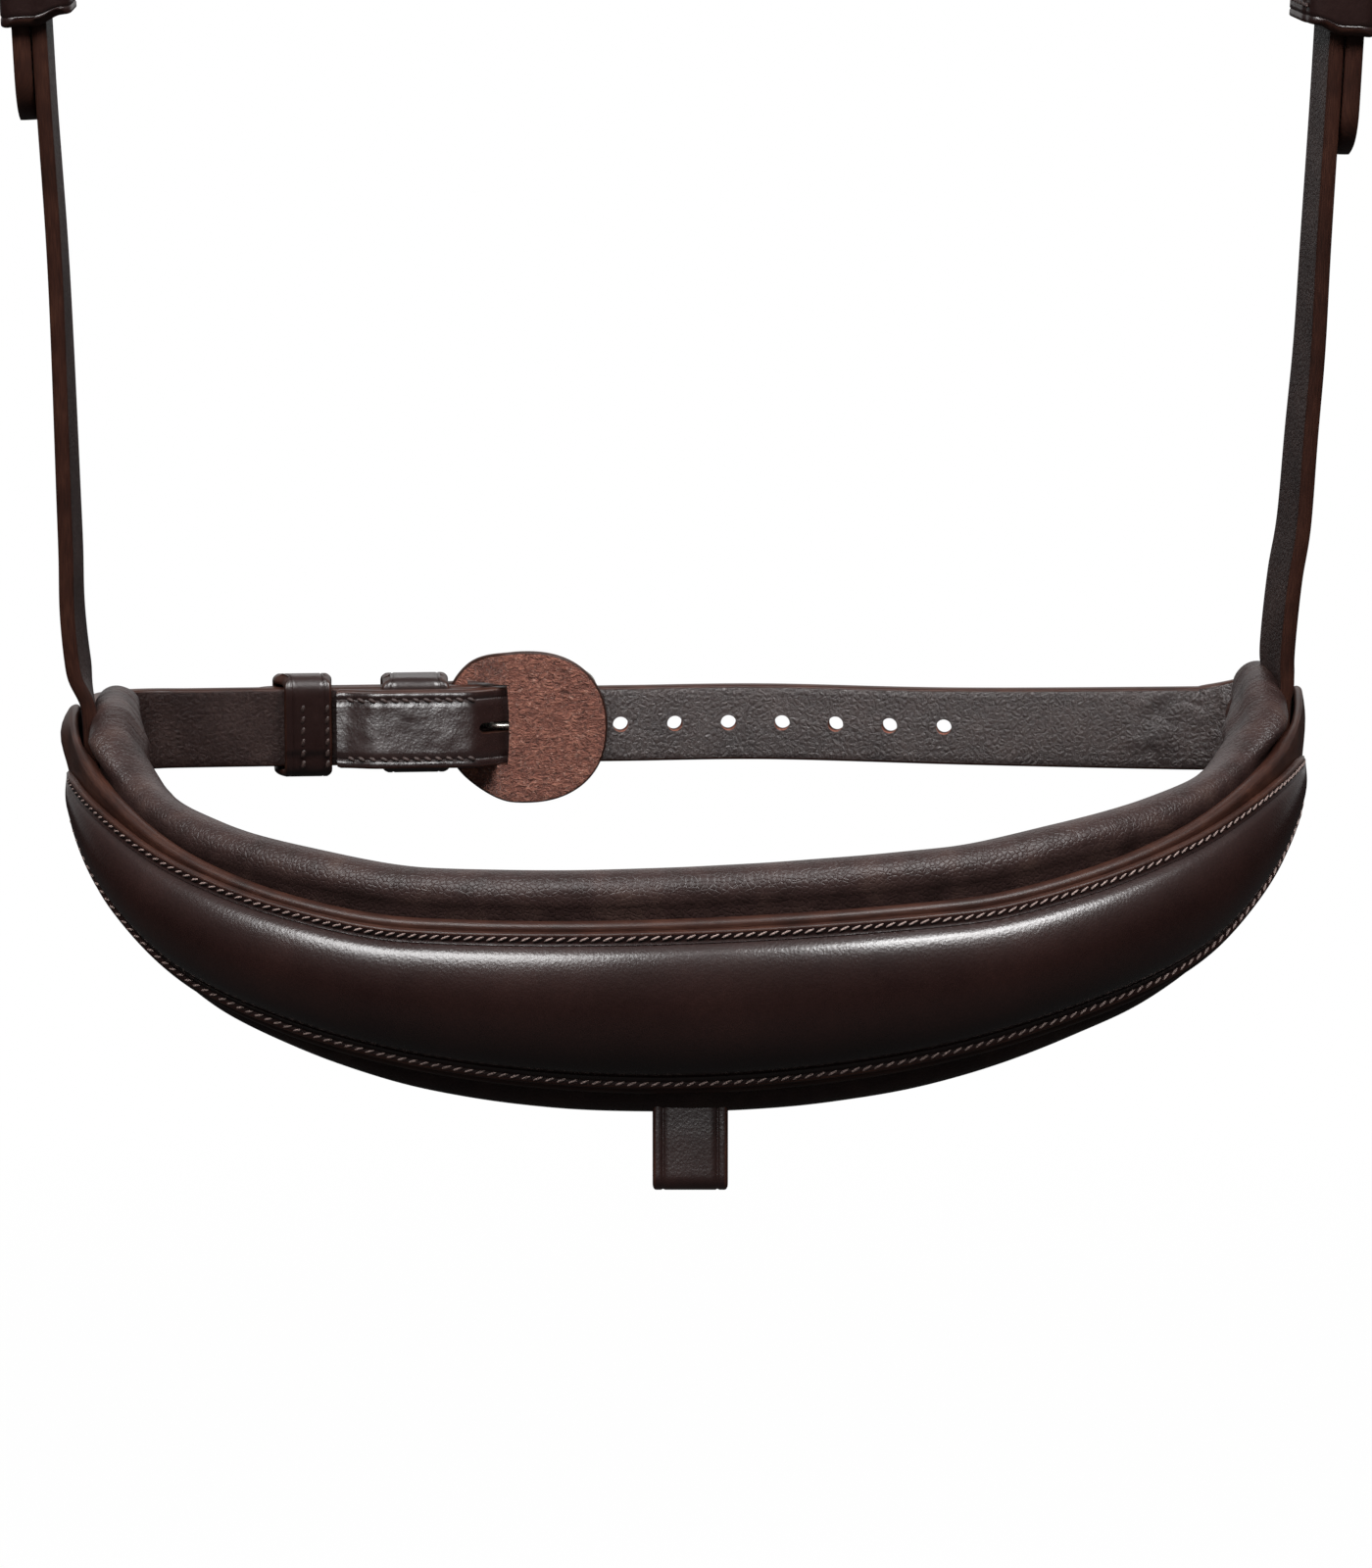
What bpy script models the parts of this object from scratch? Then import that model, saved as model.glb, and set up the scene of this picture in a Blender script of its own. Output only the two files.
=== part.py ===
"""A horse bridle: a padded crescent noseband with its jaw strap, hung on two straps from a headpiece.

Metres, +Z up. The horse's nose points to -Y, so the front of the noseband is at -Y, and +X is to
the right of someone who faces it. The origin is under the middle of the headpiece's pad, where the
bridle rests on the poll. Heights in the noseband's own tables are taken from a level through the
lower ends of the hanging straps.
"""

import math

import bmesh
import bpy
from mathutils import Matrix, Vector

# Leather thicknesses and the gap kept between pieces
GAP = 0.0003
BASE_THICKNESS = 0.0030
BASE_END_THICKNESS = 0.0016
COVER_THICKNESS = 0.0013
LINING_THICKNESS = 0.0010
FOLD_THICKNESS = 0.0022
JAW_THICKNESS = 0.0024
JAW_BILLET_THICKNESS = 0.0026
HANGER_THICKNESS = 0.0028
CROWN_THICKNESS = 0.0034
GUARD_THICKNESS = 0.0016
FLASH_THICKNESS = 0.0020
KEEPER_WALL = 0.0015
FIXED_KEEPER_WALL = 0.0012
EDGE_CHAMFER = 0.0005
BASE_CHAMFER = 0.0008

# Plan of the noseband, seen from above: half an ellipse, then two short straight ears
NOSE_HALF_WIDTH = 0.117
NOSE_DEPTH = 0.088
EAR_LENGTH = 0.008
EAR_FLARE = 0.0020
EAR_FLARE_FROM_SHARE = 0.95
EAR_FLARE_TO_SHARE = 1.03
EAR_BOW_START_SHARE = 0.12
EAR_FACE_POINTS = 3
BASE_TIP_SHARE = 0.35
SEAT_FROM_SHARE = 0.85
SEAT_TO_SHARE = 0.905
PLAN_STEPS = 400

# Heights of the noseband's edges at the front, and how far the edges climb towards the ears
BASE_TOP = -0.0062
BASE_BOTTOM = -0.0384
COVER_TOP = -0.0078
COVER_BOTTOM = -0.0369
LINING_TOP = 0.0017
LINING_BOTTOM = -0.0429
TOP_CLIMB = 0.0237
BOTTOM_CLIMB = 0.0340

# Each pair is a share of the half length along the band and a share of the climb
BASE_TOP_SHARES = (
    (0, 0), (0.31, 0), (0.46, 0.09), (0.62, 0.29), (0.77, 0.57), (0.93, 0.87), (1.0, 0.98), (1.06, 1.0))
BASE_BOTTOM_SHARES = (
    (0, 0), (0.155, 0.024), (0.31, 0.094), (0.46, 0.21), (0.62, 0.394), (0.77, 0.64), (0.93, 0.92),
    (1.06, 1.02))
COVER_TOP_SHARES = ((0, 0), (0.31, 0), (0.46, 0.10), (0.62, 0.29), (0.77, 0.52), (0.87, 0.62), (0.94, 0.66))
COVER_BOTTOM_SHARES = (
    (0, 0), (0.155, 0.026), (0.31, 0.097), (0.46, 0.22), (0.62, 0.41), (0.77, 0.69), (0.87, 0.93),
    (0.94, 1.12))
LINING_TOP_SHARES = ((0, 0), (0.31, 0), (0.46, 0.075), (0.62, 0.18), (0.77, 0.35), (0.93, 0.67), (1.05, 0.85))
LINING_BOTTOM_SHARES = (
    (0, 0), (0.155, 0.018), (0.31, 0.09), (0.46, 0.23), (0.62, 0.435), (0.77, 0.70), (0.93, 1.0),
    (1.05, 1.06))

# The whole noseband hangs a little higher on the right, and its top edge waves beside the middle
ROLL = math.radians(0.9)
WAVE = 0.0013
WAVE_LENGTH_SHARE = 0.9

# Raised outer leather: dome height over its filler, and the flat margin that is stitched down
DOME_HEIGHT = 0.0044
DOME_SHARES = ((0, 1.0), (0.45, 0.98), (0.62, 0.86), (0.77, 0.52), (0.87, 0.20), (0.94, 0.05))
DOME_FULLNESS = 0.7
MARGIN = 0.0024
COVER_END_SHARE = 0.94
COVER_TIP = 0.012
COVER_TIP_SHARE = 0.2
FILLER_END_SHARE = 0.74

# Padded lining: the fat roll along its top edge and the smaller roundness along its bottom edge
ROLL_RADIUS = 0.0048
ROLL_SHARES = ((0, 1.0), (0.62, 0.98), (0.85, 1.06), (1.05, 1.0))
FOOT_RADIUS = 0.0030
FOOT_SHARES = ((0, 1.0), (0.77, 0.85), (1.05, 0.7))
LINING_LIP = 0.0030
LINING_END = 0.0065
LINING_TIP = 0.0060
LINING_TIP_SHARE = 0.7
LINING_TIP_RADIUS_SHARE = 0.75
END_WALL = 0.0012
SHELL_FLOOR = 0.0003

# Hanging straps: where they pass into the noseband, and where their buckles are
HANGER_WIDTH = 0.014
HANGER_BACK = 0.0008
HANGER_TUCK = 0.0010
HANGER_TOP = 0.1855
HANGER_SPLAY = math.radians(2.4)
HANGER_TWIST_LEFT = math.radians(4)
HANGER_TWIST_RIGHT = math.radians(13)
TOP_TWIST_RIGHT = math.radians(8)
HANGER_OUTSET = 0.0072
HANGER_TWIST_FROM_SHARE = 0.095
HANGER_TWIST_TO_SHARE = 0.130
HANGER_UNTWIST_SHARE = 0.7

# Each pair is a share of the buckle's height and how far out the strap has come by then
HANGER_LEFT_SHARES = (
    (0.13, 0.25), (0.19, 0.39), (0.25, 0.40), (0.31, 0.433), (0.46, 0.517), (0.57, 0.611))
HANGER_RIGHT_SHARES = (
    (0.13, -0.17), (0.162, -0.16), (0.226, -0.01), (0.28, 0.194), (0.37, 0.344), (0.46, 0.511), (0.57, 0.628))

# Places under the buckle where the hanging strap has straightened, as shares of the buckle's height
HANGER_UPPER_SHARES = (0.30, 0.22, 0.12)

# Buckles, in their own frame: along the strap, outwards from it, across it
BAR_RADIUS = 0.0012
FRAME_LENGTH = 0.016
FRAME_LIFT = 0.0005
FRAME_SIDE_GAP = 0.0005
TONGUE_RADIUS = 0.0008
TONGUE_EYE = 0.0042
TONGUE_EYE_FULLNESS = 0.5
TONGUE_OVERHANG = 0.0018
TONGUE_SLOT_BACK = 0.0060
FOLD_RUN = 0.0080
HOLE_SLOT_START = 0.0012
HOLE_SLOT_END = 0.0086
HOLE_SLOT_SIDE = 0.0004
SLACK = 0.0003
BILLET_BEND = math.radians(50)
TONGUE_EYE_START = math.radians(-30)
TONGUE_RISE_SHARE = 0.4

# Jaw strap
JAW_BAR = Vector((-0.0345, 0.0296, 0.0060))
JAW_HEADING = math.radians(4)
JAW_WIDTH = 0.0156
JAW_ROOT_WIDTH = 0.0168
JAW_CORNER = 0.017
JAW_ROOT_START = 0.0008
JAW_STRAIGHT = 0.0070
JAW_ROOT_HEIGHT = 0.0013
JAW_PLY_DROP = -0.0025
JAW_TAIL = 0.0335
JAW_RUN_SHARES = (0.12, 0.35, 0.6, 0.85)
JAW_FIXED_KEEPER = (-0.0182, 0.0132)
JAW_RUNNER = (-0.0401, 0.0115)
BILLET_WIDTH = 0.0150
BILLET_ROOT_WIDTH = 0.0168
BILLET_TIP = -0.056
BILLET_RISE_FROM = -0.0215
BILLET_RISE_TO = -0.005
BILLET_SETTLE = 0.0125
BILLET_BULGE_SHARES = ((0.30, 0.030), (0.62, 0.002))
BILLET_WIDEN_FROM_SHARE = 0.35
BILLET_WIDEN_OVER_SHARE = 0.6
BILLET_ROOT_LIFT = 0.0066
HOLE_RADIUS = 0.0015
HOLE_PITCH = 0.01055
FIRST_HOLE = 0.0216
HOLE_COUNT = 7

# Leather guard behind the jaw buckle
GUARD_HALF_LENGTH = 0.0158
GUARD_HALF_WIDTH = 0.0150
GUARD_CENTRE = 0.0031
GUARD_FULLNESS = 2.25
GUARD_REACH_SHARE = 0.995
GUARD_OUTER_LEVEL = 0.00115
GUARD_INNER_LEVEL = -0.0049
GUARD_BEND_FROM = -0.0085
GUARD_BEND_TO = 0.0004
GUARD_SLOT_FROM = -0.0080
GUARD_SLOT_TO = -0.0002

# Upper buckles
TOP_TAIL = 0.0360
TOP_FIXED_KEEPER = (-0.0145, 0.0110)
TOP_RUNNER_LEFT = (-0.0342, 0.0110)
TOP_RUNNER_RIGHT = (-0.0360, 0.0110)
TOP_KEEPER_WALL = 0.0016
TOP_TIP_LEFT = -0.0575
TOP_TIP_RIGHT = -0.0640
TOP_HOLE_COUNT = 3
TOP_HOLE_PITCH = 0.020
TOP_SPARE_HOLE_SHARE = 2.35

# Headpiece
ARCH_SPRING = 0.262
ARCH_RISE = 0.126
ARCH_OUTSET = 0.0045
CROWN_WIDTH = 0.036
CROWN_TWIST_SHARE = 0.24
ARCH_END = 80
ARCH_STEP = 20
CROWN_END_SHARE = HANGER_WIDTH / CROWN_WIDTH
CROWN_WIDTH_SHARES = (
    (0, CROWN_END_SHARE), (0.25, CROWN_END_SHARE), (0.36, 0.72), (0.43, 1.0), (0.57, 1.0), (0.64, 0.72),
    (0.75, CROWN_END_SHARE), (1.0, CROWN_END_SHARE))
CROWN_PAD_SPREAD = math.radians(52)
CROWN_PAD_THICKNESS = 0.0080
CROWN_PAD_OVERHANG = 0.0030
CROWN_PAD_TIP_SHARE = 0.62
CROWN_PAD_THIN_SHARE = 0.5

# Flash loop under the front
FLASH_WIDTH = 0.0136
FLASH_AXIS = -0.0395
FLASH_ARC = 0.0008
FLASH_TAB = 0.0024
FLASH_DROP = 0.0172
FLASH_OPENING = 0.0052
FLASH_CORNER = 0.0008
FLASH_POCKET_GAP = 0.0006
FLASH_INSET = 0.0012

# Fineness
BAND_RINGS = 46
COVER_RINGS = 42
RING_CROWD_SHARE = 0.92
STRAP_RINGS = 40
BILLET_RINGS = 32
GUARD_RINGS = 20
PAD_RINGS = 24
CONTOUR_ARC_STEPS = 4
DOME_POINTS = 9
ROUND_SIDES = 12

COLLECTION = "horse_bridle"
LEATHER = (0.020, 0.008, 0.006)
DARK_LINING = (0.031, 0.019, 0.017)
FLESH_SIDE = (0.045, 0.038, 0.036)
SUEDE = (0.188, 0.072, 0.055)
FOAM = (0.35, 0.33, 0.30)
FELT = (0.16, 0.12, 0.09)
SILVER = (0.75, 0.74, 0.70)


def lerp(a, b, t):
    return a + (b - a) * t


def ease(t):
    t = min(max(t, 0), 1)
    return t * t * (3 - 2 * t)


def look_up(pairs, share):
    """A smooth curve through a table of (place, value) pairs."""
    if share <= pairs[0][0]:
        return pairs[0][1]
    for i in range(len(pairs) - 1):
        if share <= pairs[i + 1][0]:
            break
    else:
        return pairs[-1][1]
    before = pairs[max(i - 1, 0)]
    start, end = pairs[i], pairs[i + 1]
    after = pairs[min(i + 2, len(pairs) - 1)]
    span = end[0] - start[0]
    t = (share - start[0]) / span
    slope_in = (end[1] - before[1]) / (end[0] - before[0]) * span
    slope_out = (after[1] - start[1]) / (after[0] - start[0]) * span
    if start[1] == before[1] or end[1] == start[1]:
        slope_in = 0
    if end[1] == start[1]:
        slope_out = 0
    return ((2 * t**3 - 3 * t**2 + 1) * start[1] + (t**3 - 2 * t**2 + t) * slope_in
            + (3 * t**2 - 2 * t**3) * end[1] + (t**3 - t**2) * slope_out)


def clear_scene():
    for thing in list(bpy.data.objects):
        bpy.data.objects.remove(thing)


def make_collection(name):
    group = bpy.data.collections.new(name)
    bpy.context.scene.collection.children.link(group)
    return group


clear_scene()
PARTS = make_collection(COLLECTION)
CUTTERS = make_collection("cutters")


def finish(name, colour, roughness, metallic=0.0):
    """A plain Principled material for one piece."""
    material = bpy.data.materials.new(name)
    material.use_nodes = True
    shader = material.node_tree.nodes["Principled BSDF"]
    shader.inputs["Base Color"].default_value = (*colour, 1)
    shader.inputs["Roughness"].default_value = roughness
    shader.inputs["Metallic"].default_value = metallic
    return material


def add_mesh(name, mesh, colour=None, roughness=0.5, metallic=0.0, group=None):
    thing = bpy.data.objects.new(name, mesh)
    (group or PARTS).objects.link(thing)
    if colour:
        mesh.materials.append(finish(name, colour, roughness, metallic))
    return thing


def loft(name, rings, colour=None, roughness=0.5, group=None):
    """A closed body through rings that all have the same number of points."""
    mesh = bpy.data.meshes.new(name)
    shape = bmesh.new()
    rows = [[shape.verts.new(point) for point in ring] for ring in rings]
    count = len(rows[0])
    for near, far in zip(rows, rows[1:]):
        for i in range(count):
            j = (i + 1) % count
            shape.faces.new((near[i], near[j], far[j], far[i]))
    shape.faces.new(rows[0])
    shape.faces.new(rows[-1])
    bmesh.ops.recalc_face_normals(shape, faces=shape.faces)
    shape.to_mesh(mesh)
    shape.free()
    mesh.shade_smooth()
    mesh.set_sharp_from_angle(angle=math.radians(35))
    return add_mesh(name, mesh, colour, roughness, group=group)


def strap_section(half_width, thickness, chamfer=EDGE_CHAMFER):
    """The eight corners of a strap's section, across it and through it."""
    c = min(chamfer, half_width / 2, thickness / 3)
    w, t = half_width, thickness / 2
    return ((-w, -t + c), (-w + c, -t), (w - c, -t), (w, -t + c),
            (w, t - c), (w - c, t), (-w + c, t), (-w, t - c))


def strap(name, points, across, half_widths, thicknesses, colour, roughness=0.45):
    """A strap swept along points. across is one direction, or one for each point."""
    rings = []
    last = len(points) - 1
    for i, point in enumerate(points):
        ahead = points[min(i + 1, last)] - points[max(i - 1, 0)]
        side = (across[i] if isinstance(across, list) else across).normalized()
        through = ahead.normalized().cross(side).normalized()
        side = through.cross(ahead.normalized()).normalized()
        section = strap_section(half_widths[i], thicknesses[i])
        rings.append([point + side * a + through * b for a, b in section])
    return loft(name, rings, colour, roughness)


def spline(points, steps):
    """Points on a Catmull-Rom curve through the given ones."""
    out = []
    for i in range(len(points) - 1):
        a = points[max(i - 1, 0)]
        b, c = points[i], points[i + 1]
        d = points[min(i + 2, len(points) - 1)]
        for k in range(steps):
            t = k / steps
            out.append(0.5 * (2 * b + (c - a) * t + (2 * a - 5 * b + 4 * c - d) * t**2
                              + (3 * b - a - 3 * c + d) * t**3))
    out.append(points[-1])
    return out


def even(points, count):
    """The same line with evenly spaced points."""
    lengths = [0.0]
    for a, b in zip(points, points[1:]):
        lengths.append(lengths[-1] + (b - a).length)
    return [at_length(points, lengths, lengths[-1] * k / (count - 1)) for k in range(count)]


def at_length(points, lengths, distance):
    for i in range(len(points) - 1):
        if distance <= lengths[i + 1] or i == len(points) - 2:
            span = lengths[i + 1] - lengths[i]
            return points[i].lerp(points[i + 1], (distance - lengths[i]) / span)
    return points[-1]


def shares_along(points):
    """How far along its line each point lies, from 0 to 1."""
    total = [0.0]
    for a, b in zip(points, points[1:]):
        total.append(total[-1] + (b - a).length)
    return [x / total[-1] for x in total]


def cutter_box(name, matrix, low, high):
    """A box between two corners of a local frame, used to cut with."""
    mesh = bpy.data.meshes.new(name)
    shape = bmesh.new()
    size = Vector(high) - Vector(low)
    middle = (Vector(high) + Vector(low)) / 2
    bmesh.ops.create_cube(shape, size=1.0)
    bmesh.ops.scale(shape, vec=size, verts=shape.verts)
    bmesh.ops.translate(shape, vec=middle, verts=shape.verts)
    bmesh.ops.transform(shape, matrix=matrix, verts=shape.verts)
    shape.to_mesh(mesh)
    shape.free()
    return hide_cutter(add_mesh(name, mesh, group=CUTTERS))


def cutter_holes(name, places, radius, depth):
    """Round holes. places are (centre, direction) pairs."""
    mesh = bpy.data.meshes.new(name)
    shape = bmesh.new()
    for centre, direction in places:
        turn = direction.to_track_quat("Z", "Y").to_matrix().to_4x4()
        bmesh.ops.create_cone(
            shape, cap_ends=True, segments=ROUND_SIDES, radius1=radius, radius2=radius, depth=depth,
            matrix=Matrix.Translation(centre) @ turn)
    shape.to_mesh(mesh)
    shape.free()
    return hide_cutter(add_mesh(name, mesh, group=CUTTERS))


def hide_cutter(cutter):
    cutter.hide_render = True
    cutter.display_type = "WIRE"
    return cutter


def cut(piece, *cutters):
    for cutter in cutters:
        modifier = piece.modifiers.new(cutter.name, "BOOLEAN")
        modifier.operation = "DIFFERENCE"
        modifier.object = cutter


def wire(name, matrix, points, radius, colour, closed=False):
    """A round wire along points of a local frame."""
    curve = bpy.data.curves.new(name, "CURVE")
    curve.dimensions = "3D"
    curve.bevel_depth = radius
    curve.bevel_resolution = 1
    curve.use_fill_caps = True
    line = curve.splines.new("POLY")
    line.points.add(len(points) - 1)
    for slot, point in zip(line.points, points):
        slot.co = (*point, 1)
    line.use_cyclic_u = closed
    curve.materials.append(finish(name, colour, 0.22, 1.0))
    thing = bpy.data.objects.new(name, curve)
    thing.matrix_world = matrix
    PARTS.objects.link(thing)
    return thing


def plan_table():
    """Arc length against angle along the quarter of the noseband's ellipse."""
    rows = [(0.0, 0.0)]
    last = Vector((0, -NOSE_DEPTH))
    for i in range(1, PLAN_STEPS + 1):
        angle = math.pi / 2 * i / PLAN_STEPS
        point = Vector((NOSE_HALF_WIDTH * math.sin(angle), -NOSE_DEPTH * math.cos(angle)))
        rows.append((rows[-1][0] + (point - last).length, angle))
        last = point
    return rows


PLAN = plan_table()
HALF_ARC = PLAN[-1][0]


def plan_angle(arc):
    low, high = 0, PLAN_STEPS
    while high - low > 1:
        middle = (low + high) // 2
        if PLAN[middle][0] <= arc:
            low = middle
        else:
            high = middle
    a, b = PLAN[low], PLAN[high]
    return lerp(a[1], b[1], (arc - a[0]) / (b[0] - a[0]))


def plan_point(arc):
    """Point and outward direction at a signed distance along the noseband from its front."""
    side = -1 if arc < 0 else 1
    reach = abs(arc)
    if reach >= HALF_ARC:
        return Vector((side * NOSE_HALF_WIDTH, reach - HALF_ARC)), Vector((side, 0))
    angle = plan_angle(reach)
    point = Vector((side * NOSE_HALF_WIDTH * math.sin(angle), -NOSE_DEPTH * math.cos(angle)))
    out = Vector((side * math.sin(angle) / NOSE_HALF_WIDTH, -math.cos(angle) / NOSE_DEPTH))
    return point, out.normalized()


CROWN_DROP = ARCH_SPRING + ARCH_RISE - CROWN_THICKNESS / 2 - GAP - CROWN_PAD_THICKNESS


def band_point(arc, height, offset):
    """A point of the noseband: along it, up it, and outwards from the base strap's outer face."""
    flat, out = plan_point(arc)
    place = flat + out * offset
    share = abs(arc) / HALF_ARC
    side = -1 if arc < 0 else 1
    up = (height - LINING_BOTTOM) / (LINING_TOP - LINING_BOTTOM)
    wave = math.sin(math.pi * min(share / WAVE_LENGTH_SHARE, 1)) * min(max(up, 0), 1)
    tilt = place.x * math.tan(ROLL) + side * WAVE * wave
    return Vector((place.x, place.y, height + tilt - CROWN_DROP))


def edge_height(front, climb, shares, arc):
    return front + climb * look_up(shares, abs(arc) / HALF_ARC)


def flare(arc):
    start, end = EAR_FLARE_FROM_SHARE, EAR_FLARE_TO_SHARE
    return EAR_FLARE * ease((abs(arc) / HALF_ARC - start) / (end - start))


def ear_bow(arc, up):
    """How far an ear bulges outwards at a share of its height: most at half way, nothing at its top."""
    return flare(arc) * math.sin(math.pi * lerp(EAR_BOW_START_SHARE, 1, up))


def seat_share(arc):
    """0 along the front, 1 where the hanging straps are sewn in under the base strap."""
    return ease((abs(arc) / HALF_ARC - SEAT_FROM_SHARE) / (SEAT_TO_SHARE - SEAT_FROM_SHARE))


def base_thickness(arc):
    return lerp(BASE_THICKNESS, BASE_END_THICKNESS, seat_share(arc))


def arcs(reach, count):
    """Places along the band, closer together at both ends."""
    out = []
    for i in range(count):
        t = 2 * i / (count - 1) - 1
        out.append(reach * math.sin(t * math.pi / 2) * lerp(1, RING_CROWD_SHARE, 1 - abs(t)))
    return out


def tip_factor(arc, reach, length):
    """1 along the piece, falling in a quarter circle to 0 at its end."""
    t = (abs(arc) - (reach - length)) / length
    return math.sqrt(max(1 - t * t, 0)) if t > 0 else 1.0


def squeeze(low, high, factor, least_share):
    """Both edges drawn to the middle between them."""
    middle = (low + high) / 2
    factor = max(factor, least_share)
    return middle + (low - middle) * factor, middle + (high - middle) * factor


def base_strap():
    """The stiff strap that the other layers are sewn to, with an ear at each end."""
    reach = HALF_ARC + EAR_LENGTH
    rings = []
    for arc in arcs(reach, BAND_RINGS):
        top = edge_height(BASE_TOP, TOP_CLIMB, BASE_TOP_SHARES, arc)
        bottom = edge_height(BASE_BOTTOM, BOTTOM_CLIMB, BASE_BOTTOM_SHARES, arc)
        bottom, top = squeeze(bottom, top, tip_factor(arc, reach, EAR_LENGTH), BASE_TIP_SHARE)
        c, t = min(BASE_CHAMFER, base_thickness(arc) / 3), base_thickness(arc)
        heights = [lerp(top - c, bottom + c, i / (EAR_FACE_POINTS + 1)) for i in range(EAR_FACE_POINTS + 2)]
        section = [(top, c - t), (top, -c)] + [(height, 0) for height in heights]
        section += [(bottom, -c), (bottom, c - t)] + [(height, -t) for height in reversed(heights)]
        ring = []
        for height, offset in section:
            bow = ear_bow(arc, (height - bottom) / (top - bottom))
            ring.append(band_point(arc, height, bow + offset))
        rings.append(ring)
    return loft("noseband_base_strap", rings, LEATHER, 0.45)


COVER_REACH = HALF_ARC * COVER_END_SHARE
COVER_ARCS = arcs(COVER_REACH, COVER_RINGS)


def cover_edges(arc):
    top = edge_height(COVER_TOP, TOP_CLIMB, COVER_TOP_SHARES, arc)
    bottom = edge_height(COVER_BOTTOM, BOTTOM_CLIMB, COVER_BOTTOM_SHARES, arc)
    bottom, top = squeeze(bottom, top, tip_factor(arc, COVER_REACH, COVER_TIP), COVER_TIP_SHARE)
    return bottom, top


def dome(arc, across):
    """Rise of the raised leather at a share of the way between its stitched margins."""
    height = DOME_HEIGHT * look_up(DOME_SHARES, abs(arc) / HALF_ARC)
    return height * max(4 * across * (1 - across), 0) ** DOME_FULLNESS


def raised_leather():
    """The smooth domed leather on the outside, hollow over its filler."""
    rings = []
    for arc in COVER_ARCS:
        bottom, top = cover_edges(arc)
        margin = min(MARGIN, (top - bottom) / 4)
        lift = flare(arc) + GAP
        profile = [(top, 0.0)]
        for i in range(DOME_POINTS):
            across = i / (DOME_POINTS - 1)
            profile.append((lerp(top - margin, bottom + margin, across), dome(arc, across)))
        profile.append((bottom, 0.0))
        outer = [band_point(arc, height, lift + COVER_THICKNESS + rise) for height, rise in profile]
        inner = [band_point(arc, height, lift + rise) for height, rise in reversed(profile)]
        rings.append(outer + inner)
    return loft("noseband_raised_leather", rings, LEATHER, 0.25)


def filler():
    """The firm core that gives the outer leather its rounded shape."""
    rings = []
    for arc in COVER_ARCS:
        if abs(arc) > HALF_ARC * FILLER_END_SHARE:
            continue
        bottom, top = cover_edges(arc)
        margin = min(MARGIN, (top - bottom) / 4)
        lift = flare(arc) + GAP
        points, heights = [], []
        for i in range(1, DOME_POINTS - 1):
            across = i / (DOME_POINTS - 1)
            heights.append(lerp(top - margin, bottom + margin, across))
            points.append(band_point(arc, heights[-1], lift + dome(arc, across) - GAP))
        points.append(band_point(arc, heights[-1], lift))
        points.append(band_point(arc, heights[0], lift))
        rings.append(points)
    return loft("noseband_filler", rings, FELT, 0.9)


def pad_contour(top, bottom, top_radius, bottom_radius, inset):
    """Round the soft side of a pad, from its top on the flat side to its bottom, as (depth, height)."""
    out = []
    for i in range(CONTOUR_ARC_STEPS + 1):
        angle = math.pi * (1 - i / CONTOUR_ARC_STEPS)
        r = top_radius - inset
        out.append((top_radius + r * math.cos(angle), top - top_radius + r * math.sin(angle)))
    for i in range(CONTOUR_ARC_STEPS + 1):
        angle = -math.pi * i / CONTOUR_ARC_STEPS
        r = bottom_radius - inset
        out.append((bottom_radius + r * math.cos(angle), bottom + bottom_radius + r * math.sin(angle)))
    return out


def pad_shell(top, bottom, top_radius, bottom_radius, closed):
    """Section of a pad's leather cover: a C that is open to the strap, or filled at its ends."""
    outer = pad_contour(top, bottom, top_radius, bottom_radius, 0)
    inner = pad_contour(top, bottom, top_radius, bottom_radius, LINING_THICKNESS)
    high = top - top_radius - LINING_LIP
    low = bottom + bottom_radius + LINING_LIP
    if closed:
        inner = [(SHELL_FLOOR, min(max(height, low), high)) for _, height in inner]
        count = len(inner) - 1
        inner = [(SHELL_FLOOR, lerp(high, low, i / count)) for i in range(count + 1)]
    wall = SHELL_FLOOR if closed else LINING_THICKNESS
    start = [(0, high)]
    middle = [(0, low), (wall, low)]
    return start + outer + middle + inner[::-1] + [(wall, high)]


LINING_REACH = HALF_ARC + LINING_END


def lining_seat(arc):
    """Where the lining's flat side lies: on the base strap, or inside the hanging strap at the ears."""
    return lerp(-BASE_THICKNESS - GAP, -BASE_END_THICKNESS - HANGER_THICKNESS - 3 * GAP, seat_share(arc))


def lining_sizes(arc):
    share = abs(arc) / HALF_ARC
    top = edge_height(LINING_TOP, TOP_CLIMB, LINING_TOP_SHARES, arc)
    bottom = edge_height(LINING_BOTTOM, BOTTOM_CLIMB, LINING_BOTTOM_SHARES, arc)
    tip = tip_factor(arc, LINING_REACH, LINING_TIP)
    bottom, top = squeeze(bottom, top, tip, LINING_TIP_SHARE)
    shrink = lerp(LINING_TIP_RADIUS_SHARE, 1, tip)
    return top, bottom, ROLL_RADIUS * look_up(ROLL_SHARES, share) * shrink, FOOT_RADIUS * look_up(
        FOOT_SHARES, share) * shrink


def lining_arcs():
    inside = LINING_REACH - END_WALL
    return [-LINING_REACH] + arcs(inside, BAND_RINGS) + [LINING_REACH]


def noseband_lining(pocket):
    """The soft leather cover of the pad, with its fat roll above the base strap."""
    rings = []
    for arc in lining_arcs():
        closed = abs(arc) > LINING_REACH - END_WALL / 2
        seat = lining_seat(arc)
        section = pad_shell(*lining_sizes(arc), closed)
        rings.append([band_point(arc, height, seat - depth) for depth, height in section])
    piece = loft("noseband_lining", rings, DARK_LINING, 0.55)
    cut(piece, pocket)
    return piece


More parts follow.
